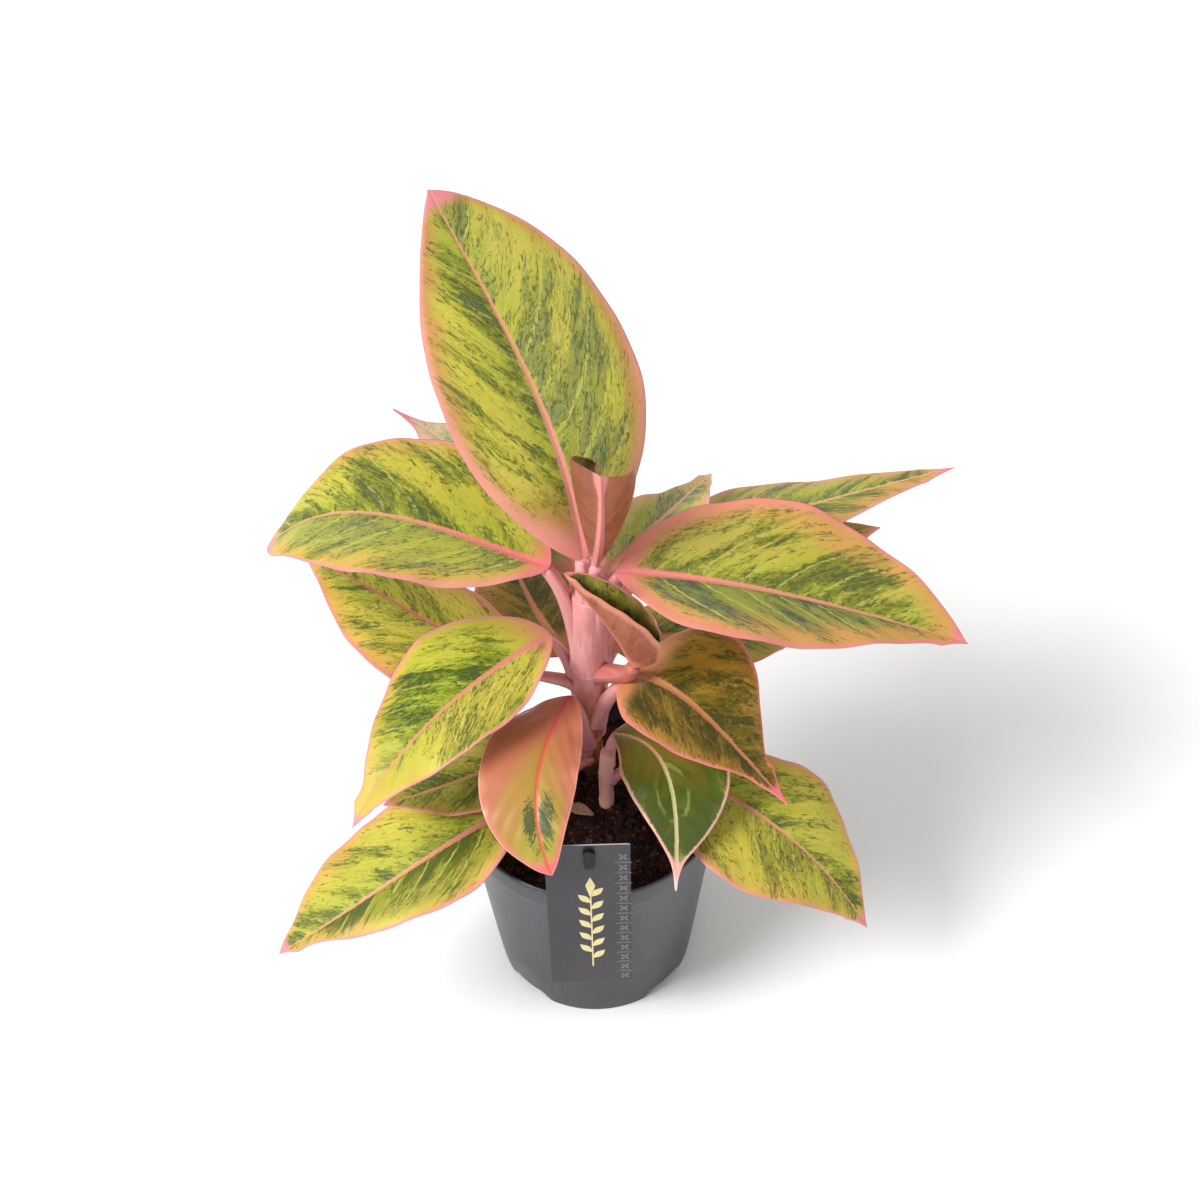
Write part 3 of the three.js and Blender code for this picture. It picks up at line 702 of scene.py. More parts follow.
def leaf_under(name, ground, patch, margin, rib, roughness=0.5, veins=0.4, shade_on_one_half=0.0, flare=0.0):
    """The under skin: paler and duller, with the raised midrib and its side veins showing."""
    material, shader, place = finish(name, roughness, 0.35)
    along, side, margin_gap, rib_gap, vein_count, grain = leaf_numbers(place)
    clouds = (grain * (0.10, 0.05, 1.0)).noise(1.0, 3.0, 0.6)
    fine = (grain * (1.1, 0.5, 1.0)).noise(1.0, 3.0, 0.6)
    tone = (clouds + (fine - 0.5) * 0.5).step(0.52, 0.62).paint(ground, patch)
    # Painted shade: one half darkened to dusky brown, the half that faces the light.
    tone = (side.step(0.0, 0.1) * shade_on_one_half).paint(tone, (96, 56, 40))
    vein_gap = ((vein_count + 0.5).math("FRACT") - 0.5).math("ABSOLUTE")
    line = (vein_gap + (fine - 0.5) * 0.05).step(0.07, 0.01) * veins
    tone = line.paint(tone, rib)
    tone = (1.0 - (margin_gap + (clouds - 0.5) * 3.0).step(1.0, 3.4)).paint(tone, margin)
    rib_width = 2.1 - along * 1.2 + along.step(0.80, 1.0) * flare
    rib_edge = rib_gap + (fine - 0.5) * 1.2
    tone = (1.0 - rib_edge.step(rib_width * 0.7, rib_width * 1.3)).paint(tone, rib)
    tone = (along.step(0.16, 0.02) * 0.8).paint(tone, margin)
    feed(shader,
         Base_Color=tone,
         Roughness=fine * 0.15 + (roughness - 0.08),
         Normal=(fine * 0.6 + line * 0.6).relief(0.0002))
    return material


def stalk_skin(name, low, high, channel, streak=(232, 184, 184)):
    """A leaf stalk: fleshy and pink, waxy pale streaks along it, deeper in its channel."""
    material, shader, place = finish(name, 0.38, 0.5)
    blade = place.make("ShaderNodeAttribute", {"attribute_name": "blade"}, None, "Vector")
    up_stalk = blade.axis(0)
    turn = blade.axis(1)
    streaks = (blade * (2.5, 2.2, 1.0)).noise(1.0, 4.0, 0.6)
    fibres = (blade * (3.0, 16.0, 1.0)).noise(1.0, 2.0, 0.6)
    tone = (up_stalk + (streaks - 0.5) * 0.4).step(0.05, 0.55).paint(low, high)
    tone = (streaks.step(0.45, 0.68) * 0.5).paint(tone, streak)
    in_channel = ((turn - math.pi / 2) / 0.5).math("ABSOLUTE").step(1.1, 0.4)
    tone = (in_channel * 0.6).paint(tone, channel)
    feed(shader,
         Base_Color=tone,
         Roughness=fibres * 0.2 + 0.28,
         Normal=fibres.relief(0.00012))
    return material


pink_stalk = stalk_skin("pink leaf stalk", (210, 136, 140), (224, 148, 148), (208, 112, 114))
red_stalk = stalk_skin("dusky red leaf stalk", (190, 108, 104), (180, 98, 86), (160, 78, 64), (204, 138, 128))
gold_under = leaf_under("pale green under skin", (172, 172, 118), (132, 142, 92), (216, 154, 134),
                        (222, 166, 148))


def halves(**pairs):
    """Values for the left and right half of a blade, by name."""
    return {f"{side} {trait}": float(value) for trait, pair in pairs.items()
            for side, value in zip(("Left", "Right"), pair)}


def four(part, points):
    """Four points as values, by name."""
    return {f"{part} {letter}": tuple(point) for letter, point in zip("ABCD", points)}


def leaf(name, midrib, width, on, face, under=gold_under, skin_of_stalk=pink_stalk, slot="leaf", fold=(5, 5),
         curl=(10, 10), widest=(0.4, 0.4), drip=0.0, cut=0.0, slant=(0, 0), scoop=(0, 0), facing=(0, 0, 1),
         wave=1.2, rise=0.42, sheath=4.6, neck=2.1, veins=9.0, quilting=0.35, seed=1.0):
    """One leaf on its stalk: the midrib by four points, half-widths and folds for its left and right."""
    ribs = through(midrib)
    chord = (ribs[3] - ribs[0]).normalized()
    stem, height = on
    line, big = (stem_line, 1.0) if stem == "main" else (shoot_line, 0.7)
    axis = point_on(line, (height - line[0].z) / (line[3].z - line[0].z))
    base = ribs[0]
    away = Vector((base.x - axis.x, base.y - axis.y, 0)).normalized()
    reach = (base - axis).length
    heading = heading_on(ribs, 0.0)
    up = Vector((0, 0, 1))
    foot = axis + away * stalk_start * big
    top = base + heading * 2.5 - up * 1.2
    second = foot + up * rise * reach + away * 0.06 * reach
    third = top - heading * 0.16 * reach - up * 0.16 * reach
    piece = grow(name + "_leaf", leaf_tree, {
        **four("Rib", ribs), **four("Stalk", (foot, second, third, top)),
        **halves(width=width, widest=widest, slant=slant, scoop=scoop,
                 fold=map(math.radians, fold), curl=map(math.radians, curl)),
        "Across": tuple(chord.cross(Vector(facing)).normalized()),
        "Length": sum((point_on(ribs, i / 20) - point_on(ribs, (i + 1) / 20)).length for i in range(20)),
        "Drip": drip, "Cut": cut, "Wave": wave, "Side veins": veins, "Quilting": quilting, "Seed": seed,
        "Foot radius": sheath * big, "Top radius": neck,
        "Rows": rows_on_blade + 1, "Columns": 2 * columns_on_half + 1,
        "Upper skin": face, "Under skin": under, "Stalk skin": skin_of_stalk})
    fit(piece, slot, "leaf_" + name)


gold = dict(light=(192, 180, 64), green=(124, 130, 42), dark=(80, 90, 38), blush=(206, 158, 84),
            margin=(218, 148, 122), rib=(214, 152, 112))
top_face = leaf_face(
    "gold and green blade with a broad salmon margin", margin_width=3.8, rib_width=1.4, base=(232, 150, 138),
    glow=0.17, blushes=6.0, core=(0.25, 0.90), half_light_and_shade=(1, (178, 176, 88), (128, 138, 92), 0.40),
    **dict(gold, blush=(188, 130, 80)))
right_face = leaf_face(
    "gold blade brushed with olive green", (176, 164, 58), (120, 122, 40), (84, 92, 40), (208, 150, 84),
    (222, 138, 114), (216, 146, 116), margin_width=4.4, blushes=13.0, stroke=1.2, greens=0.6, rib_width=1.3,
    half_light_and_shade=(1, (108, 116, 76), (84, 92, 86), 0.95), veins=0.7, base=(226, 132, 124), edge=(224, 130, 132))
left_face = leaf_face(
    "gold blade with deep green brush strokes", margin_width=2.6, blushes=7.0, stroke=1.1, greens=0.6,
    centre=(118, 126, 96), base=(230, 118, 120), rib_width=1.25,
    half_light_and_shade=(-1, (170, 168, 88), (138, 142, 84), 0.6), **gold)
leafy_face = leaf_face(
    "green and gold blade with a fine salmon margin", (186, 184, 52), (112, 128, 30), (58, 76, 22),
    (206, 168, 80), (214, 150, 118), (212, 150, 108), margin_width=1.7, blushes=4.0, greens=0.60, darks=0.58,
    veins=0.5, centre=(88, 106, 70), lime=(152, 172, 44), core=(0.2, 0.5), fade=0.3,
    half_light_and_shade=(-1, (222, 194, 88), (160, 158, 66), 0.6))
low_face = leaf_face(
    "gold blade with a little green and a fine salmon margin", margin_width=1.7, blushes=4.0, greens=0.38,
    darks=0.44, half_light_and_shade=(1, (206, 182, 66), (142, 140, 54), 0.45), **gold)
yellow_face = leaf_face(
    "yellow blade with few green specks", margin_width=1.8, blushes=4.0, darks=0.4,
    half_light_and_shade=(-1, (80, 88, 8), (82, 92, 26), 0.95), **gold)
warm_face = leaf_face(
    "orange gold blade with a red midrib", (216, 194, 76), (160, 158, 56), (92, 98, 40), (218, 168, 86),
    (220, 146, 116), (206, 110, 100), greens=0.34, darks=0.34, blushes=7.0)

leaf("top", [(0, 13, 243), (-12, 45, 287), (-34, 82, 323), (-60, 115, 360)], (41, 50), ("main", 190),
     top_face, fold=(8, 8), curl=(20, 20), widest=(0.44, 0.49), sheath=5.4, neck=3.5, veins=9.5, seed=1.0)
leaf("right", [(13, 6, 243), (63, 2, 237), (112, -2, 224), (162, -6, 206)], (42, 37), ("main", 184),
     right_face, fold=(30, 14), widest=(0.45, 0.36), sheath=5.2, neck=3.3, seed=2.0)
leaf("left", [(-14, 15, 238), (-55, 28, 247), (-98, 38, 251), (-138, 46, 224)], (33, 47), ("main", 178),
     left_face, fold=(0, 12), widest=(0.52, 0.46), sheath=5.2, neck=3.0, seed=3.0)
leaf("mid_left", [(-25, 20, 170), (-61, 40, 173), (-95, 58, 184), (-127, 74, 190)], (37, 28), ("main", 148),
     warm_face, curl=(15, 15), seed=4.0)
leaf("front_left", [(-15, 22, 190), (-50, -2, 184), (-79, -28, 173), (-102, -52, 151)], (28, 35),
     ("main", 134), leafy_face, fold=(10, 10), widest=(0.38, 0.32), seed=5.0)
leaf("low_left", [(-36, -20, 122), (-71, -41, 117), (-107, -56, 100), (-141, -66, 81)], (28, 36),
     ("main", 104), yellow_face, widest=(0.32, 0.46), rise=0.12, seed=6.0)
leaf("low_right", [(42, 4, 118), (73, -20, 115), (99, -38, 102), (123, -56, 74)], (36, 39), ("shoot", 108),
     low_face, widest=(0.4, 0.38), seed=7.0)


# Leaves at the back, turned from the light: painted greyer green for the shade they stand in, seen partly
# from below and pale at their edges; the back leaf's blade is painted paler for light. Blades and stalks are
# as on the others.

# A greyer, darker copy of the gold skin: painted shade for the leaves turned from the light.
grey = dict(light=(172, 160, 76), green=(126, 132, 66), dark=(84, 98, 56), blush=(202, 150, 92),
            margin=(222, 156, 126), rib=(214, 166, 116))
grey_face = leaf_face("greyer green blade of the back", margin_width=2.2, **grey)
# A paler copy of the back leaves' skin: painted light on the back leaf.
pale_face = leaf_face(
    "back blade painted paler for light", (206, 192, 122), (164, 168, 112), (108, 124, 86), (222, 178, 122),
    (240, 182, 164), (236, 180, 150), darks=0.35, margin_width=2.4, centre=(150, 164, 136),
    edge=(238, 180, 170))
greyed_face = leaf_face(
    "grey green blade with a dull pink tip", (190, 190, 146), (152, 164, 124), (108, 128, 98),
    (212, 172, 148), (208, 152, 146), (206, 160, 140), darks=0.45, centre=(132, 148, 122),
    edge=(196, 132, 138), tip=0.87)
leaf("back_left", [(-4, 24, 226), (-24, 52, 238), (-56, 85, 244), (-84, 107, 250)], (25, 28), ("main", 170),
     greyed_face, fold=(10, 10), curl=(20, 20), drip=0.12, neck=2.6, seed=8.0)
leaf("back", [(8, 20, 229), (26, 36, 235), (43, 54, 238), (57, 70, 239)], (22, 22), ("main", 164),
     pale_face, fold=(10, 10), curl=(20, 20), widest=(0.3, 0.36), neck=2.6, seed=9.0)
leaf("back_right", [(20, 20, 226), (59, 42, 229), (109, 62, 229), (167, 84, 226)], (32, 20), ("main", 158),
     grey_face, fold=(-5, -10), curl=(20, 20), widest=(0.37, 0.36), neck=2.6, seed=10.0)
leaf("under_right", [(15, 25, 216), (54, 40, 215), (95, 53, 212), (132, 60, 213)], (24, 24), ("main", 156),
     grey_face, curl=(20, 20), neck=2.6, seed=11.0)


# Leaves in the plant's own shade: olive and brown-green, partly their own colour and partly painted shade,
# darker along the midrib, with the same salmon midrib and margin.

olive = dict(light=(164, 120, 32), green=(104, 88, 22), dark=(62, 62, 20), blush=(160, 106, 46),
             margin=(206, 130, 100), rib=(196, 126, 86), centre=(84, 84, 50))
shade = dict(light=(196, 182, 80), green=(140, 144, 56), dark=(84, 94, 40), blush=(176, 130, 70),
             margin=(214, 142, 112), rib=(204, 140, 100), centre=(92, 100, 60))
olive_face = leaf_face(
    "olive brown blade from the shade", margin_width=2.2, greens=0.7, darks=0.55, blushes=5.0,
    lime=(140, 120, 36), half_light_and_shade=(1, (90, 72, 30), (72, 68, 30), 0.8), veins=0.15,
    base=(204, 138, 92), glow=0.21, rib_width=1.35, tip=0.87, edge=(226, 116, 120), **olive)
shade_face = leaf_face(
    "olive blade from the shade", margin_width=1.6, greens=0.6, blushes=4.0, lime=(140, 144, 52), **shade)
leaf("olive", [(16, 8, 177), (40, -9, 182), (64, -28, 167), (85, -46, 151)], (44, 28), ("main", 128),
     olive_face, widest=(0.33, 0.35), drip=0.1, sheath=5.2, neck=3.2, seed=12.0)
leaf("mid_back", [(-8, 38, 160), (-22, 64, 159), (-32, 93, 158), (-38, 122, 154)], (28, 28), ("main", 136),
     olive_face, curl=(15, 15), seed=13.0)
leaf("mid_right", [(11, 30, 172), (40, 37, 172), (72, 44, 164), (98, 52, 156)], (24, 24), ("main", 116),
     shade_face, curl=(15, 15), seed=14.0)
leaf("small_left", [(-13, 13, 129), (-40, -1, 130), (-67, -14, 131), (-92, -26, 134)], (22, 28),
     ("main", 108), shade_face, curl=(15, 15), seed=15.0)


# Small salmon leaf that hangs over the rim in front: salmon all over, gold towards its
# tip, with two dark green patches beside a red midrib near the tip.

salmon_face, shader, place = finish("salmon blade, gold towards the tip", 0.4, 0.45)
along, side, margin_gap, rib_gap, _, grain = leaf_numbers(place)
brush = (grain * (0.5, 0.16, 1.0)).noise(1.0, 3.0, 0.6)
clouds = (grain * (0.06, 0.05, 1.0)).noise(1.0, 2.0, 0.5)
grit = (grain * (1.2, 0.9, 1.0)).noise(1.0, 3.0, 0.65)
gilded = (along + (clouds - 0.5) * 0.7 - rib_gap * 0.022).step(0.12, 0.62)
tone = gilded.paint((182, 108, 78), (168, 134, 52))
green_gold = (along + (brush - 0.5) * 0.4 - rib_gap * 0.02).step(0.52, 0.80) * 0.7
tone = green_gold.paint(tone, (158, 152, 52))
spot_off = ((along - 0.78 - side * 0.05) / 0.13) ** 2.0 + ((rib_gap - 3.2) / 3.8) ** 2.0
leafy = 1.3 - spot_off.math("SQRT") * 0.6 + (clouds - 0.5) * 1.2 + (brush - 0.5) * 0.9 + (grit - 0.5) * 1.3
tone = (leafy.step(0.72, 0.84) * 0.9).paint(tone, (58, 74, 32))
tone = (leafy.step(1.05, 1.25) * 0.5).paint(tone, (84, 94, 66))
rim = (margin_gap + (brush - 0.5) * 4.0).step(4.5, 1.0)
tone = rim.paint(tone, (198, 120, 92))
tone = ((along + (grit - 0.5) * 0.05).step(0.91, 0.97)).paint(tone, (222, 104, 106))
red_rib = ((rib_gap + (brush - 0.5) * 1.0) / (1.9 - along * 1.1)).step(1.0, 0.5)
tone = red_rib.paint(tone, along.step(0.45, 0.05).paint((196, 98, 62), (208, 84, 88)))
tone = (margin_gap.step(0.9, 0.4) * 0.8).paint(tone, (232, 156, 142))
feed(shader,
     Base_Color=tone,
     Roughness=brush * 0.2 + 0.28,
     Normal=(grit * 0.3 + brush * 0.6).relief(0.0002))
leaf("salmon_front", [(-7, 8, 165), (-18, -22, 169), (-23, -50, 162), (-17, -72, 140)], (17, 26),
     ("main", 112), salmon_face, curl=(15, 15), widest=(0.5, 0.5), seed=16.0)


# Small dark leaf of the side shoot, in front on the right: deep green with a cream
# midrib and vein ring, a pink and cream margin and a long whitish drip tip.

dark_face, shader, place = finish("deep green blade with a cream midrib and ring", 0.4, 0.45)
along, _, margin_gap, rib_gap, _, grain = leaf_numbers(place)
brush = (grain * (0.5, 0.2, 1.0)).noise(1.0, 3.0, 0.6)
clouds = (grain * (0.09, 0.06, 1.0)).noise(1.0, 2.0, 0.5)
grit = (grain * (1.2, 0.9, 1.0)).noise(1.0, 3.0, 0.65)
tone = (along + (clouds - 0.5) * 0.7).step(0.15, 0.55).paint((116, 98, 30), (70, 84, 18))
tone = (clouds.step(0.5, 0.6) * 0.5).paint(tone, (94, 106, 28))
ring_place = ((along - 0.50) / 0.145) ** 2.0 + (rib_gap / 7.0) ** 2.0
ring = (ring_place.math("SQRT") + (brush - 0.5) * 0.25 - 1.0).math("ABSOLUTE").step(0.13, 0.04)
tone = (ring * clouds.step(0.40, 0.52) * 0.55).paint(tone, (146, 152, 76))
pale_flecks = (clouds + (grit - 0.5) * 0.9).step(0.64, 0.72) * margin_gap.step(8.0, 3.0)
tone = (pale_flecks * 0.7).paint(tone, (150, 152, 72))
rim = (margin_gap + (brush - 0.5) * 2.0).step(1.9, 0.9)
tone = rim.paint(tone, along.step(0.75, 0.3).paint((226, 176, 158), (206, 158, 126)))
pale_rib = (rib_gap + (brush - 0.5) * 0.8).step(1.1, 0.6)
tone = (pale_rib * 0.9).paint(tone, along.step(0.44, 0.24).paint((204, 194, 142), (204, 146, 108)))
tone = (along + (brush - 0.5) * 0.06).step(0.80, 0.87).paint(tone, (226, 170, 158))
tone = along.step(0.90, 0.97).paint(tone, (224, 206, 204))
feed(shader,
     Base_Color=tone,
     Roughness=brush * 0.2 + 0.28,
     Normal=(grit * 0.3 + brush * 0.6).relief(0.0002))
leaf("dark_front", [(10, 7, 140), (32, -12, 141), (37, -40, 131), (36, -64, 116)], (29, 20), ("shoot", 118),
     dark_face, widest=(0.4, 0.4), drip=0.12, seed=17.0)


# Young leaves, still rolled in: the spear that stands in front of the top leaf and a
# half-opened one below it. Dusky salmon outside with a pink midrib, olive within.

spear_under = leaf_under(
    "dusky salmon under skin of the spear", (166, 96, 64), (147, 81, 55), (224, 148, 136), (214, 132, 128),
    roughness=0.46, veins=0.12, shade_on_one_half=0.45, flare=2.0)
rolled_under = leaf_under(
    "dusky salmon under skin of the rolled leaf", (162, 96, 70), (144, 80, 58), (208, 132, 110),
    (196, 120, 100), roughness=0.46, veins=0.1)
young_face = leaf_face(
    "olive inner face", (126, 92, 46), (98, 80, 34), (66, 62, 26), (132, 92, 50), (176, 112, 84),
    (150, 100, 64), greens=0.6, blushes=3.0, margin_width=1.0, veins=0.12, centre=(80, 88, 40),
    base=(134, 84, 52))
leaf("spear", [(5, 5, 247), (7, 1, 265), (8, -1, 283), (8, 0, 302)], (28, 40), ("main", 200),
     young_face, spear_under, slot="young_leaf", fold=(12, 15), curl=(-90, -145), widest=(0.74, 0.76),
     cut=0.16, slant=(0.17, -0.34), scoop=(0, 0.68), facing=(0, 1, 0), wave=0.0, sheath=5.2, neck=2.8,
     quilting=0.1, seed=18.0)
leaf("rolled", [(20.3, -2, 193.3), (13, -5, 216), (3, -8, 238), (-8, -7, 256)], (21, 25), ("main", 165),
     young_face, rolled_under, red_stalk, "young_leaf", fold=(42, 45), curl=(-80, -90), widest=(0.3, 0.52),
     facing=(0.74, -0.3, 0.6), wave=0.0, rise=0.2, sheath=5.6, neck=3.6, quilting=0.1, seed=19.0)


# Dry scrap. A shed bit of an old sheath, papery and curled, lying on the soil at the
# foot of the shoot.

dry_skin, shader, place = finish("papery dry skin", 0.8, 0.2)
fibres = place.noise(1400.0, 3.0, 0.7)
feed(shader,
     Base_Color=fibres.step(0.3, 0.7).paint((118, 84, 70), (186, 150, 132)),
     Roughness=fibres * 0.2 + 0.7,
     Normal=fibres.relief(0.0003))
scrap_ribs = through([(-11, -1, 99.4), (-7, -3, 100.4), (-3, -5, 100.4), (1, -7, 99.4)])
torn_end = [(0, 0, 0), (0.4, -0.2, 0.1), (0.8, -0.4, 0.2), (1.4, -0.7, 0.3)]
dry_scrap = grow("dry_sheath_scrap", leaf_tree, {
    **four("Rib", scrap_ribs), **four("Stalk", [scrap_ribs[0] + Vector(aside) for aside in torn_end]),
    **halves(width=(3.5, 3.5), widest=(0.4, 0.4), slant=(0, 0), scoop=(0, 0), fold=(0.26, 0.26),
             curl=(0.52, 0.52)),
    "Across": tuple((scrap_ribs[3] - scrap_ribs[0]).normalized().cross(Vector((0, 0, 1))).normalized()),
    "Length": 14.0, "Drip": 0.0, "Cut": 0.0, "Wave": 0.0, "Side veins": 5.0, "Quilting": 0.2, "Seed": 20.0,
    "Foot radius": 0.3, "Top radius": 0.5, "Rows": 33, "Columns": 17,
    "Upper skin": dry_skin, "Under skin": dry_skin, "Stalk skin": dry_skin})
fit(dry_scrap, "dry_leaf", "dry_scrap")


# Tag. A tall plain card of grey laminated board, die cut with rounded corners and a
# round hole, hung on its peg against the pot's rim. Its face is printed with a plain
# leafy sprig in cream and a narrow border of small flowers and bars in light grey.

tag_width = 37.0
tag_height = 100.0
tag_thickness = 0.8
tag_bottom = 46.0
tag_middle = -2.0
tag_back = -rim_radius - 0.3
tag_front = tag_back - tag_thickness
tag_bevel = 0.08
corner_radius = 1.0
peg_x = -1.3
hole_height = tag_bottom + tag_height - 7.0
hole_radius = 2.3
print_height = 0.04


def cut_from(name, curve):
    """The plain mesh that a curve draws."""
    drawn = placed(name, curve)
    mesh = made_mesh(drawn)
    bpy.data.objects.remove(drawn)
    return mesh


def board(name, outlines, depth, thickness, bevel=0.0, bevel_steps=0):
    """The mesh of a flat board with these outlines as seen from the front, its middle at this depth."""
    curve = bpy.data.curves.new(name, "CURVE")
    curve.dimensions = "2D"
    curve.fill_mode = "BOTH"
    curve.extrude = thickness / 2 - bevel
    curve.bevel_depth = bevel
    curve.bevel_resolution = bevel_steps
    for points in outlines:
        spline = curve.splines.new("POLY")
        spline.points.add(len(points) - 1)
        for point, (x, z) in zip(spline.points, points):
            point.co = (x, z, 0, 1)
        spline.use_cyclic_u = True
    mesh = cut_from(name, curve)
    mesh.transform(Matrix.Rotation(math.pi / 2, 4, "X"))
    mesh.transform(Matrix.Translation((0, depth, 0)))
    mesh.transform(Matrix.Scale(0.001, 4))
    return mesh


card_outline = []
for quarter, (side, level) in enumerate([(1, 1), (-1, 1), (-1, 0), (1, 0)]):
    middle_x = tag_middle + side * (tag_width / 2 - corner_radius)
    middle_z = tag_bottom + (tag_height - corner_radius if level else corner_radius)
    for j in range(7):
        turn = math.pi / 2 * (quarter + j / 6)
        card_outline.append((middle_x + (corner_radius - tag_bevel) * math.cos(turn),
                             middle_z + (corner_radius - tag_bevel) * math.sin(turn)))
hole = [(peg_x + hole_radius * math.cos(turn), hole_height + hole_radius * math.sin(turn))
        for turn in turns_round(32)]

card, shader, place = finish("grey laminated card", 0.38, 0.5)
weave = place.noise(1800.0, 2.0, 0.6)
clouds = place.noise(30.0, 2.0, 0.5)
front_face = (place.axis(1) * 1000.0).step(tag_front + 0.2, tag_front + tag_bevel)
tone = clouds.step(0.3, 0.7).paint((40, 38, 44), (50, 47, 53))
feed(shader,
     Base_Color=front_face.paint((182, 178, 180), tone),
     Roughness=weave * 0.12 + clouds * 0.08 + 0.26,
     Normal=(weave * 0.6 + clouds * 0.4).relief(0.00004))
card_mesh = board("hanging_card", [card_outline, hole], tag_back - tag_thickness / 2, tag_thickness,
                  tag_bevel, 2)
card_mesh.materials.append(card)
fit(placed("hanging_card", card_mesh), "tag_card", "tag")


def ink(name, tone, worn):
    material, shader, place = finish(name, 0.45, 0.4)
    wear = place.noise(900.0, 3.0, 0.6)
    feed(shader,
         Base_Color=wear.step(0.45, 0.75).paint(tone, worn),
         Roughness=wear * 0.2 + 0.35)
    return material


cream_ink = ink("cream printing ink", (222, 208, 150), (196, 180, 122))
grey_ink = ink("light grey printing ink", (114, 110, 116), (86, 83, 89))

motif_tree, inlet = plan("row of printed motifs", {
    "Motif": "Geometry", "Count": "Int", "First": "Vector", "Step": "Vector", "Lean": "Float",
    "Ink": "Material"})
line = inlet["Count"].make("GeometryNodeMeshLine", None, {
    "Count": inlet["Count"], "Start Location": inlet["First"], "Offset": inlet["Step"]})
number = line.make("GeometryNodeInputIndex")
swing = 1.0 - number.math("MODULO", 2.0) * 2.0
leaning = number.make("ShaderNodeCombineXYZ", None, {0: 0.0, 1: swing * inlet["Lean"], 2: 0.0})
motifs = line.make("GeometryNodeInstanceOnPoints", None, {
    "Points": line, "Instance": inlet["Motif"], "Rotation": leaning})
end_plan(motif_tree, motifs, [inlet["Ink"]])


def leaflet(long, wide, points, degrees=0):
    """A pointed oval with its foot at zero, upright or turned by some degrees."""
    right = [(wide / 2 * math.sin(math.pi * j / points) ** 1.2, long * j / points) for j in range(points + 1)]
    turn = math.radians(degrees)
    return [(x * math.cos(turn) - z * math.sin(turn), x * math.sin(turn) + z * math.cos(turn))
            for x, z in right + [(-x, z) for x, z in reversed(right[1:-1])]]


def printed_row(name, motif, count, x, z, step, lean, tone):
    """A row of one printed motif up the card, from its first place by an even step in millimetres."""
    first = Vector((x, tag_front - print_height / 2, z)) * 0.001
    row = grow(name, motif_tree, {
        "Count": count, "First": tuple(first), "Step": (0.0, 0.0, step * 0.001), "Lean": lean,
        "Ink": tone}, board(name + "_start", motif, 0.0, print_height))
    fit(row, "tag_card")


sprig_x = -1.2
sprig_foot = 58.0
sprig_leaf = leaflet(8.5, 3.6, 9)
printed_row("printed_sprig_leaves", [sprig_leaf], 11, sprig_x, sprig_foot + 6.0, 4.6, 0.72, cream_ink)
stem_outline = [(-0.35, 0), (0.35, 0), (0.3, 52), (2.2, 60), (0, 66), (-2.2, 60), (-0.3, 52)]
stem_mesh = board("printed_sprig_stem", [[(sprig_x + x, sprig_foot + z) for x, z in stem_outline]],
                  tag_front - print_height / 2, print_height)
stem_mesh.materials.append(cream_ink)
fit(placed("printed_sprig_stem", stem_mesh), "tag_card")

border_x = 13.3
border_foot = 50.0
border_step = 7.3
floret = [leaflet(2.7, 1.2, 6, 45 + 90 * i) for i in range(4)]
printed_row("printed_border_flowers", floret, 13, border_x, border_foot, border_step, 0.0, grey_ink)
bar_pair = [[(-half, low), (half, low), (half, high), (-half, high)]
            for half, low, high in ((3.8, -0.2, 0.2), (2.4, 0.7, 1.0))]
printed_row("printed_border_bars", bar_pair, 12, border_x, border_foot + 3.4, border_step, 0.0, grey_ink)


# Peg. A black plastic stake in the soil whose top bends forward through the card's
# hole and ends in a flat tongue that keeps the card on.

peg_radius = 1.6
tongue_thickness = 2.0
tongue_bevel = 0.4
peg_path = [(peg_x, -50, 74), (peg_x, -50, 100), (peg_x, -50, 118), (peg_x, -51, hole_height - 5),
            (peg_x, -52.6, hole_height - 1.6), (peg_x, -56, hole_height), (peg_x, -62.6, hole_height)]
peg_curve = bpy.data.curves.new("peg path", "CURVE")
peg_curve.dimensions = "3D"
peg_curve.bevel_depth = peg_radius
peg_curve.bevel_resolution = 5
peg_curve.resolution_u = 10
peg_curve.use_fill_caps = True
run = peg_curve.splines.new("BEZIER")
run.bezier_points.add(len(peg_path) - 1)
for point, place in zip(run.bezier_points, peg_path):
    point.co = place
    point.handle_left_type = "AUTO"
    point.handle_right_type = "AUTO"
black, shader, place = finish("black moulded plastic", 0.35, 0.25)
grain = place.noise(1500.0, 2.0, 0.6)
feed(shader,
     Base_Color=place.noise(90.0, 2.0).step(0.3, 0.7).paint((14, 14, 16), (26, 26, 29)),
     Roughness=grain * 0.2 + 0.25,
     Normal=grain.relief(0.00005))
peg_mesh = cut_from("peg path", peg_curve)
peg_mesh.transform(Matrix.Scale(0.001, 4))
peg_mesh.shade_smooth()
tongue = []
for middle_z, start_turn in [(hole_height + 2.8, 0.0), (hole_height - 4.8, math.pi)]:
    for j in range(9):
        turn = start_turn + math.pi * j / 8
        tongue.append((peg_x + 2.2 * math.cos(turn), middle_z + 1.8 * math.sin(turn)))
tongue_depth = tag_front - tongue_thickness / 2 - 0.3
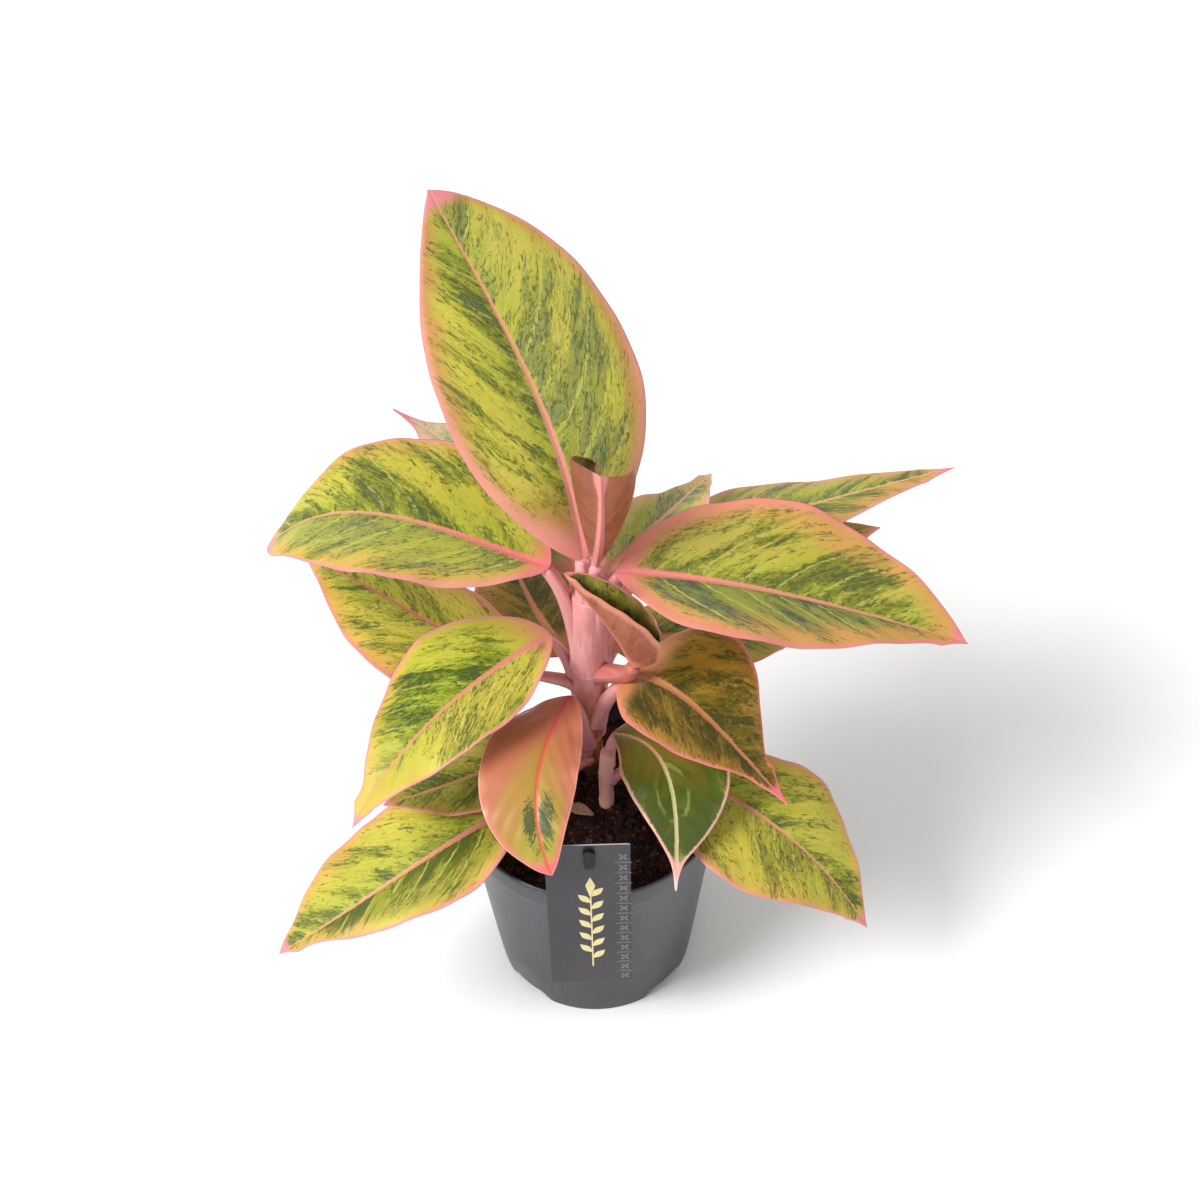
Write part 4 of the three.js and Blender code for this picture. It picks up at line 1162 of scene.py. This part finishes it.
tongue_mesh = board("peg_tongue", [tongue], tongue_depth, tongue_thickness, tongue_bevel, 3)
for name, mesh in (("black_peg", peg_mesh), ("peg_tongue", tongue_mesh)):
    mesh.materials.append(black)
    fit(placed(name, mesh), "peg_plastic", "peg")


# Studio. A seamless white floor, one broad soft light high on the left in front, and a
# white room round it. The camera looks down at the plant as in the photograph.

floor_reach = 4
floor_corners = [(floor_reach * x, floor_reach * y, 0) for x, y in ((-1, -1), (1, -1), (1, 1), (-1, 1))]
floor_mesh = bpy.data.meshes.new("studio_floor")
floor_mesh.from_pydata(floor_corners, [], [(0, 1, 2, 3)])
floor_skin, shader, place = finish("white studio floor", 0.8, 0.2)
shader.inputs["Base Color"].default_value = screen(246, 246, 246)
floor_mesh.materials.append(floor_skin)
floor = placed("studio_floor", floor_mesh)

key = bpy.data.lights.new("broad_soft_key", "SUN")
key.energy = 3.3
key.angle = math.radians(28)
key_holder = placed("broad_soft_key", key)
key_holder.rotation_mode = "QUATERNION"
key_holder.rotation_quaternion = Vector((-1.5, -0.75, 1.55)).to_track_quat("Z", "Y")

room = bpy.data.worlds.new("white room")
room.use_nodes = True
background = room.node_tree.nodes["Background"]
background.inputs["Color"].default_value = (1.0, 1.0, 1.0, 1.0)
background.inputs["Strength"].default_value = 0.66
bpy.context.scene.world = room
bpy.context.scene.view_settings.view_transform = "Standard"

camera_data = bpy.data.cameras.new("camera")
camera_data.sensor_width = 36.0
camera_data.lens = 63.0
camera = placed("camera", camera_data)
bpy.context.scene.camera = camera
camera_place = (0.0065, -0.617, 0.854)
pitch = math.radians(45.2)
roll = math.radians(-1.6)
forward = Vector((0.0, math.cos(pitch), -math.sin(pitch)))
level_right = Vector((1.0, 0.0, 0.0))
level_up = level_right.cross(forward)
right_hand = level_right * math.cos(roll) + level_up * math.sin(roll)
overhead = level_up * math.cos(roll) - level_right * math.sin(roll)
facing = Matrix((right_hand, overhead, -forward)).transposed()
camera.matrix_world = Matrix.Translation(camera_place) @ facing.to_4x4()

bpy.context.view_layer.update()
